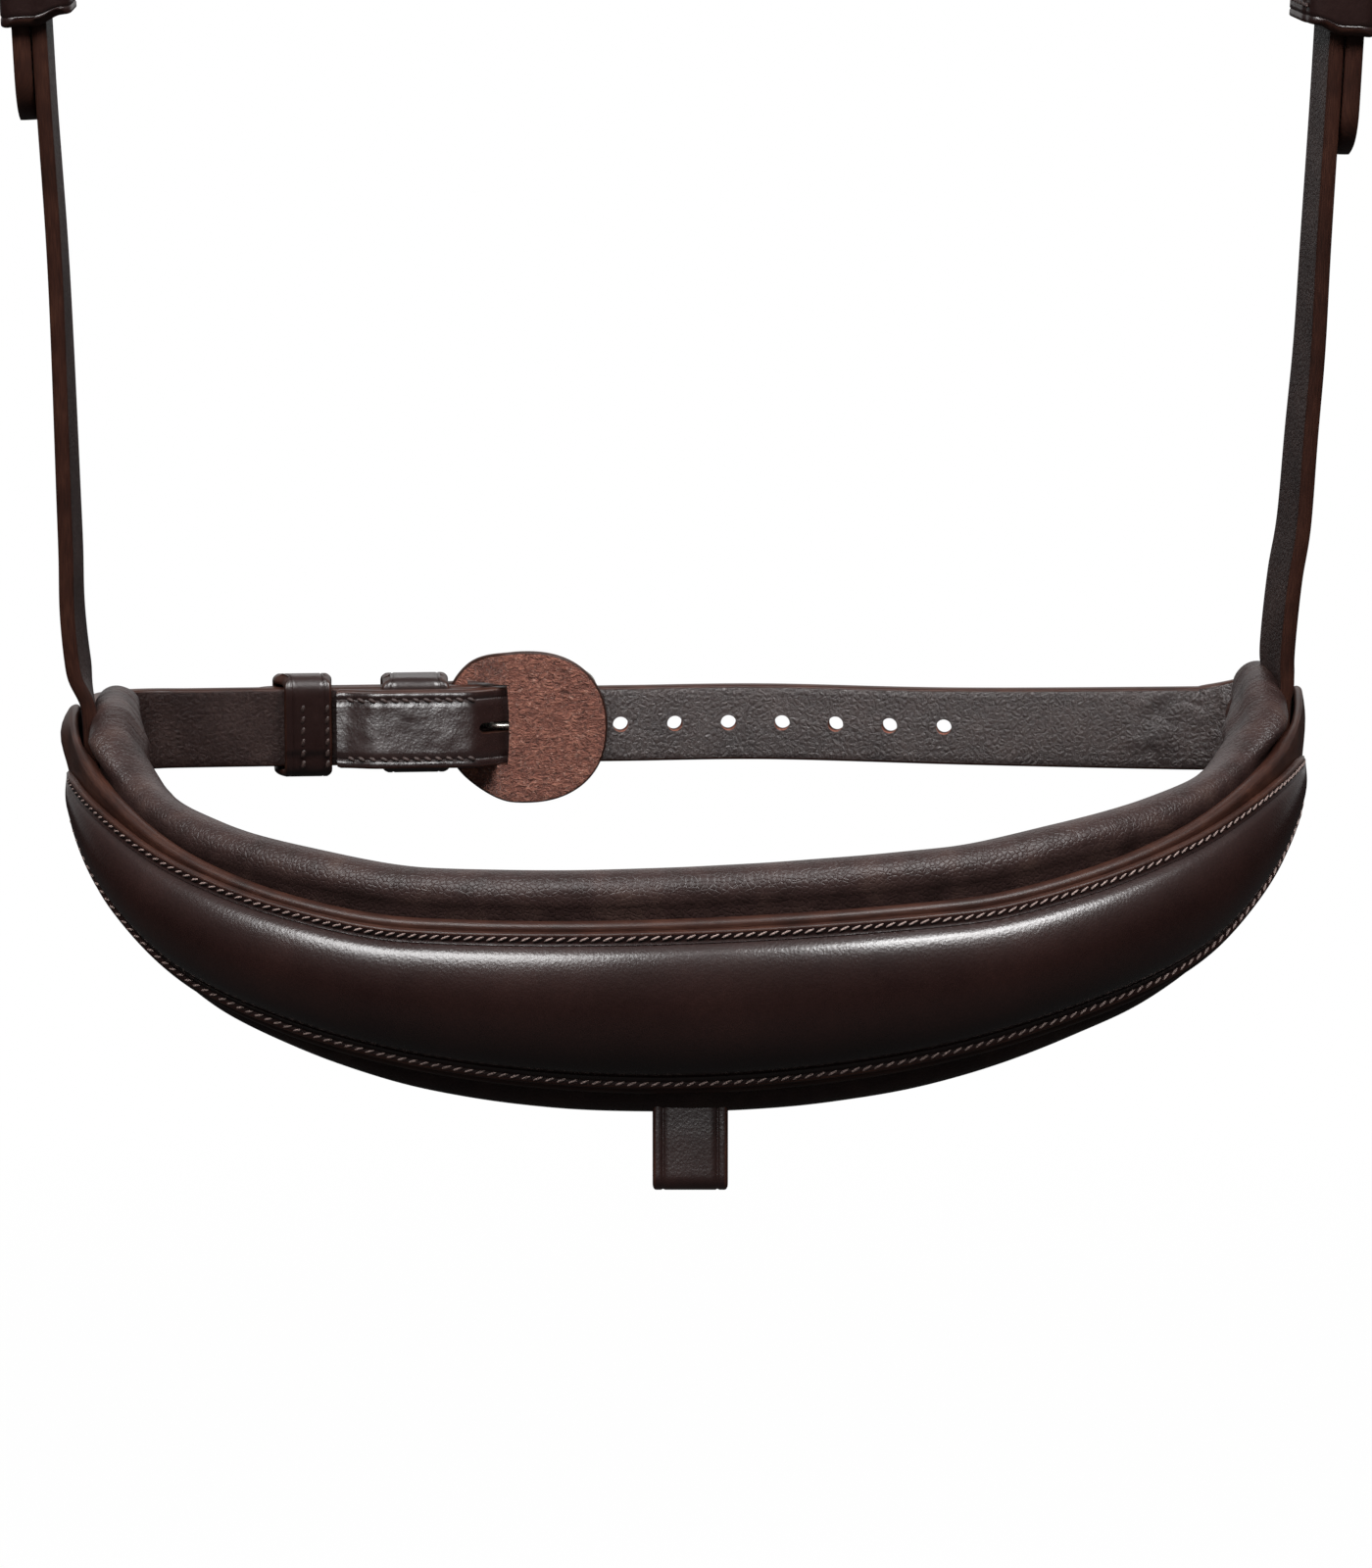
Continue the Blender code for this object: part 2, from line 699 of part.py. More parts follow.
def noseband_foam(pocket):
    """The foam inside the lining."""
    rings = []
    for arc in lining_arcs()[2:-2]:
        seat = lining_seat(arc)
        section = pad_contour(*lining_sizes(arc), LINING_THICKNESS + 2 * GAP)
        rings.append([band_point(arc, height, seat - depth) for depth, height in section])
    piece = loft("noseband_foam", rings, FOAM, 0.95)
    cut(piece, pocket)
    return piece


def flash_frame():
    """Hinge of the flash loop: X across the nose, Y inwards, at the base strap's lower edge."""
    depth = BASE_THICKNESS + GAP + FLASH_POCKET_GAP + FLASH_THICKNESS + GAP / 2
    return Matrix.Translation(band_point(FLASH_ARC, FLASH_AXIS, -depth))


def flash_pocket():
    """The space in the pad that the flash loop's sewn-in ends move in."""
    half = FLASH_WIDTH / 2 + FLASH_POCKET_GAP
    deep = FLASH_THICKNESS + GAP / 2 + FLASH_POCKET_GAP
    below = LINING_BOTTOM - FLASH_AXIS - FLASH_THICKNESS
    above = FLASH_TAB + FLASH_POCKET_GAP
    return cutter_box("flash_pocket_cutter", flash_frame(), (-half, -deep - FLASH_THICKNESS, below),
                      (half, deep, above))


def flash_loop():
    """A strip folded into a loop that hangs from the middle of the noseband."""
    close = (FLASH_THICKNESS + GAP) / 2
    wide = (FLASH_OPENING + FLASH_THICKNESS) / 2
    corner = FLASH_CORNER + FLASH_THICKNESS / 2
    shift = wide - FLASH_INSET
    hem = LINING_BOTTOM - FLASH_AXIS
    front = [Vector((0, -close, FLASH_TAB)), Vector((0, -close, -FLASH_TAB / 2)),
             Vector((0, -close, hem - FLASH_THICKNESS / 2)),
             Vector((0, shift - wide, hem - 2 * FLASH_THICKNESS))]
    for i in range(ROUND_SIDES // 4 + 1):
        angle = math.pi / 2 * i / (ROUND_SIDES // 4)
        front.append(Vector((0, shift - wide + corner * (1 - math.cos(angle)),
                             -FLASH_DROP + corner * (1 - math.sin(angle)))))
    back = [Vector((0, 2 * shift - point.y, point.z)) for point in reversed(front[3:])]
    back += [Vector((0, close, point.z)) for point in reversed(front[:3])]
    points = front + back
    count = len(points)
    piece = strap("flash_loop", points, Vector((1, 0, 0)), [FLASH_WIDTH / 2] * count,
                  [FLASH_THICKNESS] * count, LEATHER)
    piece.matrix_world = flash_frame()
    return piece


def fold_radius():
    return BAR_RADIUS + GAP + FOLD_THICKNESS / 2


def fold_points(drop, thickness, tail, fixed):
    """A strap's end round a buckle's bar, as (along, out), from its outer ply to the end of its tail.

    The fixed keeper's inner side lies between the two plies, and behind it the tail comes back up."""
    radius = fold_radius()
    outer = drop + GAP / 2 + thickness / 2
    inner = fixed_keeper_low(drop) - FIXED_KEEPER_WALL - GAP - FOLD_THICKNESS / 2
    closed = drop - GAP / 2 - FOLD_THICKNESS / 2
    behind = fixed[1] / 2 - fixed[0] + GAP
    points = []
    steps = ROUND_SIDES // 2
    for i in range(steps):
        t = i / steps
        points.append((-FOLD_RUN * (1 - t), lerp(outer, radius, ease(t))))
    for i in range(ROUND_SIDES + 1):
        angle = math.pi / 2 - math.pi * i / ROUND_SIDES
        points.append((radius * math.cos(angle), radius * math.sin(angle)))
    for i in range(1, steps + 1):
        t = i / steps
        points.append((-FOLD_RUN * t, lerp(-radius, inner, ease(t))))
    for i in range(steps + 1):
        t = i / steps
        points.append((-behind - FOLD_RUN / 2 * t, lerp(inner, closed, ease(t))))
    points.append((-tail, closed))
    return points


def fixed_keeper_low(drop):
    """Inner face of a fixed keeper's side between the plies, outwards from the buckle's bar."""
    return drop - GAP / 2


def over_bar_points(low, thickness, rise_from, rise_to, tip):
    """A billet through a buckle, as (along, out): over the fold, then under the frame's far side."""
    over = fold_radius() + FOLD_THICKNESS / 2 + GAP + thickness / 2
    under = billet_under(thickness)
    points = [(tip, low), ((tip + rise_from) / 2, low)]
    steps = ROUND_SIDES // 2
    for i in range(steps):
        t = i / steps
        points.append((lerp(rise_from, rise_to, t), lerp(low, over, ease(t))))
    points.append((rise_to, over))
    bend = BILLET_BEND
    for i in range(steps):
        angle = math.pi / 2 - bend * i / (steps - 1)
        points.append((over * math.cos(angle), over * math.sin(angle)))
    start = Vector(points[-1])
    leave = Vector((math.sin(math.pi / 2 - bend), -math.cos(math.pi / 2 - bend)))
    handle = BILLET_SETTLE / 3
    end = Vector((BILLET_SETTLE, under))
    controls = (start, start + leave * handle, end - Vector((handle, 0)), end)
    for i in range(1, steps + 1):
        t = i / steps
        spot = ((1 - t)**3 * controls[0] + 3 * t * (1 - t)**2 * controls[1]
                + 3 * t**2 * (1 - t) * controls[2] + t**3 * controls[3])
        points.append((spot.x, spot.y))
    points.append((FRAME_LENGTH, under))
    return points


def billet_under(thickness):
    return FRAME_LIFT - BAR_RADIUS - GAP - thickness / 2


def buckle_frame(name, matrix, strap_width):
    """A bar and three sides bent from one wire."""
    side = strap_width / 2 + FRAME_SIDE_GAP + BAR_RADIUS
    corner = 2 * BAR_RADIUS
    points = [(0, 0, -side + corner / 2), (0, 0, side - corner / 2)]
    points.append((corner / 4, 0, side))
    points.append((FRAME_LENGTH - corner, FRAME_LIFT, side))
    points.append((FRAME_LENGTH - corner / 4, FRAME_LIFT, side - corner / 2))
    points.append((FRAME_LENGTH, FRAME_LIFT, side - corner))
    mirrored = [(s, q, -w) for s, q, w in reversed(points[2:])]
    return wire(name, matrix, points + mirrored, BAR_RADIUS, SILVER, closed=True)


def buckle_tongue(name, matrix):
    """A pin with an eye round the bar. It rests on the frame's far side."""
    eye = BAR_RADIUS + GAP + TONGUE_RADIUS
    points = []
    start = TONGUE_EYE_START
    steps = ROUND_SIDES
    for i in range(steps + 1):
        angle = start - (2 * math.pi + start - math.pi / 2) * i / steps
        c, s = math.cos(angle), math.sin(angle)
        if c > 0:
            points.append((eye * c, eye * s, 0))
        else:
            points.append((-TONGUE_EYE * abs(c) ** TONGUE_EYE_FULLNESS, eye * s, 0))
    rest = FRAME_LIFT + BAR_RADIUS + GAP + TONGUE_RADIUS
    points.append((FRAME_LENGTH / 2, lerp(eye, rest, TONGUE_RISE_SHARE), 0))
    points.append((FRAME_LENGTH - BAR_RADIUS, rest, 0))
    points.append((FRAME_LENGTH + TONGUE_OVERHANG, rest, 0))
    return wire(name, matrix, points, TONGUE_RADIUS, SILVER)


def rounded_rectangle(half_x, half_y, middle_x, radius):
    points = []
    steps = ROUND_SIDES // 4
    for corner, (sx, sy) in enumerate(((1, 1), (-1, 1), (-1, -1), (1, -1))):
        for i in range(steps + 1):
            angle = math.pi / 2 * (corner + i / steps)
            points.append((middle_x + sx * (half_x - radius) + radius * math.cos(angle),
                           sy * (half_y - radius) + radius * math.sin(angle), 0))
    return points


def keeper(name, matrix, along, low, high, half_width, wall):
    """A leather band round the straps. along is its middle and its length."""
    middle, length = along
    curve = bpy.data.curves.new(name, "CURVE")
    curve.dimensions = "2D"
    curve.fill_mode = "BOTH"
    curve.extrude = length / 2
    half, centre = (high - low) / 2, (high + low) / 2
    for grow, radius in ((wall, wall), (0, wall / 2)):
        line = curve.splines.new("POLY")
        points = rounded_rectangle(half + grow, half_width + grow, centre, radius)
        line.points.add(len(points) - 1)
        for slot, point in zip(line.points, points):
            slot.co = (*point, 1)
        line.use_cyclic_u = True
    curve.materials.append(finish(name, LEATHER, 0.3))
    thing = bpy.data.objects.new(name, curve)
    turn = Matrix(((0, 0, 1, middle), (1, 0, 0, 0), (0, 1, 0, 0), (0, 0, 0, 1)))
    thing.matrix_world = matrix @ turn
    PARTS.objects.link(thing)
    return thing


def frame_matrix(origin, along, out):
    """A local frame: x along the strap, y outwards, z across."""
    along = along.normalized()
    across = along.cross(out).normalized()
    out = across.cross(along)
    return Matrix((
        (along.x, out.x, across.x, origin.x), (along.y, out.y, across.y, origin.y),
        (along.z, out.z, across.z, origin.z), (0, 0, 0, 1)))


def jaw_frame():
    heading = Vector((math.cos(JAW_HEADING), math.sin(JAW_HEADING), 0))
    out = Vector((-math.sin(JAW_HEADING), math.cos(JAW_HEADING), 0))
    return frame_matrix(JAW_BAR - Vector((0, 0, CROWN_DROP)), heading, out)


def root_offset():
    """Middle of the layer between the ears and the lining, from the base strap's outer face."""
    return -BASE_END_THICKNESS - GAP - HANGER_THICKNESS / 2


def jaw_root(side):
    """The sewn-in start of the jaw strap and its corner, in plan, from the noseband outwards."""
    edge = side * (NOSE_HALF_WIDTH + root_offset())
    points = [Vector((edge, JAW_ROOT_START, 0)), Vector((edge, JAW_STRAIGHT / 2, 0))]
    for i in range(ROUND_SIDES // 2 + 1):
        angle = math.pi / 2 * i / (ROUND_SIDES // 2)
        points.append(Vector((edge - side * JAW_CORNER * (1 - math.cos(angle)),
                              JAW_STRAIGHT + JAW_CORNER * math.sin(angle), 0)))
    return points


def jaw_levels():
    """Middle of the outer ply and of the billet, outwards from the jaw buckle's bar."""
    ply = JAW_PLY_DROP + GAP / 2 + JAW_THICKNESS / 2
    billet = JAW_PLY_DROP + GAP / 2 + JAW_THICKNESS + GAP + JAW_BILLET_THICKNESS / 2
    return ply, billet


def jaw_buckle_strap():
    """The left half of the jaw strap, turned back round the buckle's bar and sewn down."""
    matrix = jaw_frame()
    ply, _ = jaw_levels()
    root = jaw_root(-1)
    base = JAW_BAR.z + JAW_ROOT_HEIGHT
    for i, point in enumerate(root):
        point.z = lerp(base, JAW_BAR.z, ease((i - 1) / (len(root) - 2))) - CROWN_DROP
    join = matrix.inverted() @ root[-1]
    run = [matrix @ Vector((lerp(join.x, -FOLD_RUN, t), ply, 0)) for t in JAW_RUN_SHARES]
    turned = fold_points(JAW_PLY_DROP, JAW_THICKNESS, JAW_TAIL, JAW_FIXED_KEEPER)
    fold = [matrix @ Vector((s, q, 0)) for s, q in turned]
    points = root[:-1] + run + fold
    count = len(points)
    turn = len(root) - 1 + len(run)
    widths = [lerp(JAW_ROOT_WIDTH, JAW_WIDTH, ease(i / turn)) / 2 for i in range(turn)]
    widths += [JAW_WIDTH / 2] * (count - turn)
    thick = [lerp(HANGER_THICKNESS, JAW_THICKNESS, ease(i / turn)) for i in range(turn)]
    shift = ROUND_SIDES // 2
    thick += [lerp(JAW_THICKNESS, FOLD_THICKNESS, ease(i / shift)) for i in range(shift)]
    thick += [FOLD_THICKNESS] * (count - len(thick))
    piece = strap("jaw_buckle_strap", points, Vector((0, 0, 1)), widths, thick, LEATHER)
    cut(piece, tongue_slot("jaw_tongue_slot_cutter", matrix))
    return piece


def tongue_slot(name, matrix):
    half = TONGUE_RADIUS + GAP
    reach = 2 * fold_radius() + FOLD_THICKNESS
    return cutter_box(name, matrix, (-TONGUE_SLOT_BACK, -reach, -half), (reach, reach, half))


def hole_slot(name, matrix, thickness):
    """The drawn-out hole that the tongue stands in."""
    half = TONGUE_RADIUS + HOLE_SLOT_SIDE
    reach = fold_radius() + 2 * thickness
    return cutter_box(name, matrix, (HOLE_SLOT_START, -reach, -half), (HOLE_SLOT_END, 2 * reach, half))


def jaw_billet_strap():
    """The right half of the jaw strap: a punched billet that runs through the buckle and keepers."""
    matrix = jaw_frame()
    _, low = jaw_levels()
    local = over_bar_points(low, JAW_BILLET_THICKNESS, BILLET_RISE_FROM, BILLET_RISE_TO, BILLET_TIP)
    near = [matrix @ Vector((s, q, 0)) for s, q in local]
    root = jaw_root(1)
    root.reverse()
    lift = BILLET_ROOT_LIFT
    for i, point in enumerate(root):
        point.z = JAW_BAR.z + lift * ease(i / (len(root) - 2)) - CROWN_DROP
    start = near[-1]
    middle = []
    for share, rise in BILLET_BULGE_SHARES:
        spot = start.lerp(root[0], share)
        spot.y += (root[0].x - start.x) * rise
        middle.append(spot)
    lead = start + (matrix.to_3x3() @ Vector((1, 0, 0))) * FRAME_LENGTH / 2
    far = spline([start, lead] + middle + root, 4)
    far = even(far, BILLET_RINGS)
    points = near[:-1] + far
    turn = len(near) - 1
    widths = [BILLET_WIDTH / 2] * turn
    for i in range(len(far)):
        share = ease((i / len(far) - BILLET_WIDEN_FROM_SHARE) / BILLET_WIDEN_OVER_SHARE)
        widths.append(lerp(BILLET_WIDTH, BILLET_ROOT_WIDTH, share) / 2)
    widths[0] = BILLET_WIDTH / 4
    thick = [JAW_BILLET_THICKNESS] * turn
    thick += [lerp(JAW_BILLET_THICKNESS, HANGER_THICKNESS, i / len(far)) for i in range(len(far))]
    piece = strap("jaw_billet_strap", points, Vector((0, 0, 1)), widths, thick, LEATHER)
    places = hole_places(far, FIRST_HOLE - FRAME_LENGTH, HOLE_PITCH, HOLE_COUNT, Vector((0, 0, 1)))
    cut(piece, hole_slot("jaw_hole_slot_cutter", matrix, JAW_BILLET_THICKNESS),
        cutter_holes("jaw_hole_cutter", places, HOLE_RADIUS, 3 * JAW_BILLET_THICKNESS))
    return piece


def hole_places(line, first, pitch, count, across):
    """Centres and directions of round holes spaced along a strap's line."""
    lengths = [0.0]
    for a, b in zip(line, line[1:]):
        lengths.append(lengths[-1] + (b - a).length)
    places = []
    step = HOLE_RADIUS
    for i in range(count):
        distance = first + pitch * i
        spot = at_length(line, lengths, distance)
        ahead = at_length(line, lengths, distance + step) - at_length(line, lengths, distance - step)
        places.append((spot, ahead.cross(across).normalized()))
    return places


def guard_outline(s):
    x = min(abs(s - GUARD_CENTRE) / GUARD_HALF_LENGTH, 1)
    return GUARD_HALF_WIDTH * (1 - x**GUARD_FULLNESS) ** (1 / GUARD_FULLNESS)


def buckle_guard():
    """A round piece of leather between the buckle and the jaw. The strap passes through its slot."""
    matrix = jaw_frame()
    points, widths = [], []
    count = GUARD_RINGS
    for i in range(count):
        t = 2 * i / (count - 1) - 1
        s = GUARD_CENTRE + GUARD_HALF_LENGTH * math.sin(t * math.pi / 2) * GUARD_REACH_SHARE
        level = ease((s - GUARD_BEND_FROM) / (GUARD_BEND_TO - GUARD_BEND_FROM))
        points.append(matrix @ Vector((s, lerp(GUARD_OUTER_LEVEL, GUARD_INNER_LEVEL, level), 0)))
        widths.append(guard_outline(s))
    piece = strap("buckle_guard", points, Vector((0, 0, 1)), widths, [GUARD_THICKNESS] * count, SUEDE, 0.9)
    half = JAW_WIDTH / 2 + 2 * GAP
    reach = GUARD_HALF_LENGTH
    cut(piece, cutter_box("guard_slot_cutter", matrix, (GUARD_SLOT_FROM, -reach, -half),
                          (GUARD_SLOT_TO, reach, half)))
    return piece


def jaw_fittings():
    matrix = jaw_frame()
    ply, low = jaw_levels()
    buckle_frame("jaw_buckle_frame", matrix, JAW_WIDTH)
    buckle_tongue("jaw_buckle_tongue", matrix)
    over = fold_radius() + FOLD_THICKNESS / 2 + GAP + JAW_BILLET_THICKNESS / 2
    middle, length = JAW_FIXED_KEEPER
    t = (middle + length / 2 - BILLET_RISE_FROM) / (BILLET_RISE_TO - BILLET_RISE_FROM)
    high = lerp(low, over, ease(t)) + JAW_BILLET_THICKNESS / 2 + SLACK
    half = JAW_WIDTH / 2 + SLACK
    keeper("jaw_fixed_keeper", matrix, JAW_FIXED_KEEPER, fixed_keeper_low(JAW_PLY_DROP), high, half,
           FIXED_KEEPER_WALL)
    inner = ply - JAW_THICKNESS / 2 - SLACK
    high = low + JAW_BILLET_THICKNESS / 2 + SLACK
    keeper("jaw_runner_keeper", matrix, JAW_RUNNER, inner, high, half + SLACK, KEEPER_WALL)


def hanger_across(side, twist):
    """Direction across a hanging strap. The twist turns its front edge away from the horse."""
    return Vector((-math.sin(twist), side * math.cos(twist), 0))


def top_frame(side):
    """Frame of an upper buckle: x up along the hanging strap, y away from the horse."""
    along = Vector((side * math.sin(HANGER_SPLAY), 0, math.cos(HANGER_SPLAY)))
    out = hanger_across(side, TOP_TWIST_RIGHT if side > 0 else 0).cross(along)
    x = NOSE_HALF_WIDTH + root_offset() + HANGER_OUTSET - GAP / 2 - HANGER_THICKNESS / 2
    middle = -(HANGER_WIDTH / 2 + HANGER_BACK)
    origin = Vector((side * x, middle, HANGER_TOP - CROWN_DROP))
    return frame_matrix(origin, along, out)


def hanger_foot(side):
    """Middle of a hanging strap's foot between the layers, and the direction across it."""
    front = band_point(side * (HALF_ARC - HANGER_BACK - HANGER_WIDTH), 0, root_offset())
    back = band_point(side * (HALF_ARC - HANGER_BACK), 0, root_offset())
    across = side * (back - front)
    across.z = 0
    return (front + back) / 2, across.normalized()


def hanger(side):
    """A hanging strap, from between the noseband's layers up to its buckle."""
    label = "left" if side < 0 else "right"
    matrix = top_frame(side)
    ply = GAP / 2 + HANGER_THICKNESS / 2
    turned = fold_points(0, HANGER_THICKNESS, TOP_TAIL, TOP_FIXED_KEEPER)
    fold = [matrix @ Vector((s, q, 0)) for s, q in turned]
    upper = [matrix @ Vector((-HANGER_TOP * s, ply, 0)) for s in HANGER_UPPER_SHARES]
    foot, foot_across = hanger_foot(side)
    lower = [foot + Vector((0, 0, z)) for z in (-HANGER_TUCK, BASE_TOP + TOP_CLIMB / 2, BASE_TOP + TOP_CLIMB)]
    for share, out in HANGER_LEFT_SHARES if side < 0 else HANGER_RIGHT_SHARES:
        lower.append(Vector((foot.x + side * HANGER_OUTSET * out, foot.y, HANGER_TOP * share - CROWN_DROP)))
    points = spline(lower + upper, 3) + fold
    count = len(points)
    top_across = matrix.to_3x3() @ Vector((0, 0, 1))
    low_across = hanger_across(side, HANGER_TWIST_RIGHT if side > 0 else HANGER_TWIST_LEFT)
    across = []
    for point in points:
        share = (point.z + CROWN_DROP) / HANGER_TOP
        turned = ease((share - HANGER_TWIST_FROM_SHARE) / (HANGER_TWIST_TO_SHARE - HANGER_TWIST_FROM_SHARE))
        high = ease((share - HANGER_TWIST_TO_SHARE) / (HANGER_UNTWIST_SHARE - HANGER_TWIST_TO_SHARE))
        across.append(foot_across.lerp(low_across, turned).lerp(top_across, high))
    thick = [HANGER_THICKNESS] * (count - len(fold))
    shift = ROUND_SIDES // 2
    thick += [lerp(HANGER_THICKNESS, FOLD_THICKNESS, ease(i / shift)) for i in range(shift)]
    thick += [FOLD_THICKNESS] * (count - len(thick))
    piece = strap("hanger_" + label, points, across, [HANGER_WIDTH / 2] * count, thick, LEATHER)
    cut(piece, tongue_slot("hanger_%s_slot_cutter" % label, matrix))
    return piece


def top_billet_level():
    return GAP / 2 + HANGER_THICKNESS + GAP + CROWN_THICKNESS / 2


def top_fittings(side):
    label = "top_left" if side < 0 else "top_right"
    matrix = top_frame(side)
    buckle_frame(label + "_buckle_frame", matrix, HANGER_WIDTH)
    buckle_tongue(label + "_buckle_tongue", matrix)
    half = HANGER_WIDTH / 2 + SLACK
    high = top_billet_level() + CROWN_THICKNESS / 2 + SLACK
    keeper(label + "_fixed_keeper", matrix, TOP_FIXED_KEEPER, fixed_keeper_low(0), high, half,
           FIXED_KEEPER_WALL)
    low = -GAP / 2 - FOLD_THICKNESS - SLACK
    runner = TOP_RUNNER_LEFT if side < 0 else TOP_RUNNER_RIGHT
    keeper(label + "_runner_keeper", matrix, runner, low, high, half + SLACK, TOP_KEEPER_WALL)


def crown_half(side, tip):
    """Half of the headpiece's line, from its billet's tip up to where the arch starts."""
    matrix = top_frame(side)
    local = over_bar_points(top_billet_level(), CROWN_THICKNESS, -FOLD_RUN, -BAR_RADIUS, tip)
    return [matrix @ Vector((s, q, 0)) for s, q in local]


def arch_point(angle):
    """The headpiece's arch, with the angle taken from straight up."""
    half = NOSE_HALF_WIDTH + root_offset() + HANGER_OUTSET + ARCH_OUTSET + billet_under(CROWN_THICKNESS)
    return Vector((half * math.sin(angle), 0, ARCH_SPRING + ARCH_RISE * math.cos(angle) - CROWN_DROP))


def crown_across(share):
    """Direction across the headpiece, square to the horse but for its billets."""
    end = CROWN_TWIST_SHARE
    left = ease(1 - (share - end / 2) / end)
    right = ease(1 - (1 - share - end / 2) / end)
    straight = Vector((0, 1, 0))
    low_left = top_frame(-1).to_3x3() @ Vector((0, 0, -1))
    low_right = top_frame(1).to_3x3() @ Vector((0, 0, 1))
    return straight.lerp(low_left, left).lerp(low_right, right)


def crown_strap():
    """The headpiece: one strap over the poll that ends in a billet on each side."""
    left = crown_half(-1, TOP_TIP_LEFT)
    right = crown_half(1, TOP_TIP_RIGHT)
    right.reverse()
    arch = [arch_point(math.radians(a)) for a in range(-ARCH_END, ARCH_END + 1, ARCH_STEP)]
    over = even(spline([left[-1]] + arch + [right[0]], 6), STRAP_RINGS)
    points = left[:-1] + over + right[1:]
    places = shares_along(points)
    widths = [CROWN_WIDTH * look_up(CROWN_WIDTH_SHARES, share) / 2 for share in places]
    widths[0] = widths[-1] = HANGER_WIDTH / 4
    thick = [CROWN_THICKNESS] * len(points)
    across = [crown_across(share) for share in places]
    piece = strap("crown_strap", points, across, widths, thick, LEATHER)
    for side, label in ((-1, "left"), (1, "right")):
        matrix = top_frame(side)
        line = over if side < 0 else over[::-1]
        places = hole_places(line, FRAME_LENGTH / 2, TOP_HOLE_PITCH, TOP_HOLE_COUNT, Vector((0, 1, 0)))
        out = (matrix.to_3x3() @ Vector((0, 1, 0))).normalized()
        spare = matrix @ Vector((-TOP_HOLE_PITCH * TOP_SPARE_HOLE_SHARE, top_billet_level(), 0))
        holes = cutter_holes("crown_%s_hole_cutter" % label, places + [(spare, out)], HOLE_RADIUS,
                             4 * CROWN_THICKNESS)
        cut(piece, hole_slot("crown_%s_slot_cutter" % label, matrix, CROWN_THICKNESS), holes)
    return piece


def crown_pad_section(angle):
    """Half width, thickness radius and end factor of the headpiece's pad at an angle on the arch."""
    end = tip_factor(angle, CROWN_PAD_SPREAD, CROWN_PAD_SPREAD * (1 - CROWN_PAD_TIP_SHARE))
    full = lerp(CROWN_PAD_THIN_SHARE, 1, end)
    half = lerp(CROWN_WIDTH * CROWN_END_SHARE, CROWN_WIDTH, end) / 2 + CROWN_PAD_OVERHANG * full
    radius = CROWN_PAD_THICKNESS / 2 * full
    return half, radius


def crown_ring(angle, closed, foam):
    """One section of the headpiece's pad, under the strap."""
    half, radius = crown_pad_section(angle)
    if foam:
        section = pad_contour(half, -half, radius, radius, LINING_THICKNESS + 2 * GAP)
    else:
        section = pad_shell(half, -half, radius, radius, closed)
    centre = arch_point(angle)
    step = math.radians(1)
    ahead = (arch_point(angle + step) - arch_point(angle - step)).normalized()
    inward = Vector((0, 1, 0)).cross(ahead).normalized()
    seat = CROWN_THICKNESS / 2 + GAP
    return [centre + inward * (seat + depth) + Vector((0, across, 0)) for depth, across in section]


def crown_pad():
    """The headpiece's soft leather cover and the foam inside it."""
    count = PAD_RINGS
    wall = END_WALL / ARCH_RISE
    inside = CROWN_PAD_SPREAD - wall
    angles = [lerp(-inside, inside, i / (count - 1)) for i in range(count)]
    rings = [crown_ring(-CROWN_PAD_SPREAD, True, False)]
    rings += [crown_ring(angle, False, False) for angle in angles]
    rings.append(crown_ring(CROWN_PAD_SPREAD, True, False))
    loft("crown_lining", rings, DARK_LINING, 0.55)
    loft("crown_foam", [crown_ring(angle, False, True) for angle in angles[1:-1]], FOAM, 0.95)


def build():
    base_strap()
    raised_leather()
    filler()
    pocket = flash_pocket()
    noseband_lining(pocket)
    noseband_foam(pocket)
    flash_loop()
    jaw_buckle_strap()
    jaw_billet_strap()
    buckle_guard()
    jaw_fittings()
    for side in (-1, 1):
        hanger(side)
        top_fittings(side)
    crown_strap()
    crown_pad()


build()
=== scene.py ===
import math

import bmesh
import bpy
import numpy as np
from mathutils import Matrix, Vector, noise


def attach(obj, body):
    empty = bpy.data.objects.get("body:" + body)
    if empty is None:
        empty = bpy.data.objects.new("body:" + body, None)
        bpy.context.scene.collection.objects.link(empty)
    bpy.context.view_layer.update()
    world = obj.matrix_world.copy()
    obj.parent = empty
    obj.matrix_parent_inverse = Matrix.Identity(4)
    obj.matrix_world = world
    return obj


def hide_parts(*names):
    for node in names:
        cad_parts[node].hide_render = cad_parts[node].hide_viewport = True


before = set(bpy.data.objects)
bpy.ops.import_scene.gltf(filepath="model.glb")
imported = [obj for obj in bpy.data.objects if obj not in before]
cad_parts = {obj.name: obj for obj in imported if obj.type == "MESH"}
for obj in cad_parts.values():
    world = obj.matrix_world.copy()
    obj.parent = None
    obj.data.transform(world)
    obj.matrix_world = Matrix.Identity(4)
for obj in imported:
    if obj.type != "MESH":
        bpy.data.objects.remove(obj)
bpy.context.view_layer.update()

# The part's own sizes, in metres. The noseband's heights are taken from a level DROP below the origin.
# Tables of shares hold pairs: a place, as a share of the band's or strap's length, and the value there.
GAP = 0.0003
DROP = 0.378
BASE_THICKNESS, BASE_END_THICKNESS = 0.0030, 0.0016
COVER_THICKNESS, FOLD_THICKNESS = 0.0013, 0.0022
JAW_THICKNESS, JAW_BILLET_THICKNESS = 0.0024, 0.0026
HANGER_THICKNESS, CROWN_THICKNESS = 0.0028, 0.0034
GUARD_THICKNESS, FLASH_THICKNESS = 0.0016, 0.0020
NOSE_HALF_WIDTH, NOSE_DEPTH = 0.117, 0.088
EAR_LENGTH, EAR_FLARE = 0.008, {-1: 0.0021, 1: 0.0008}
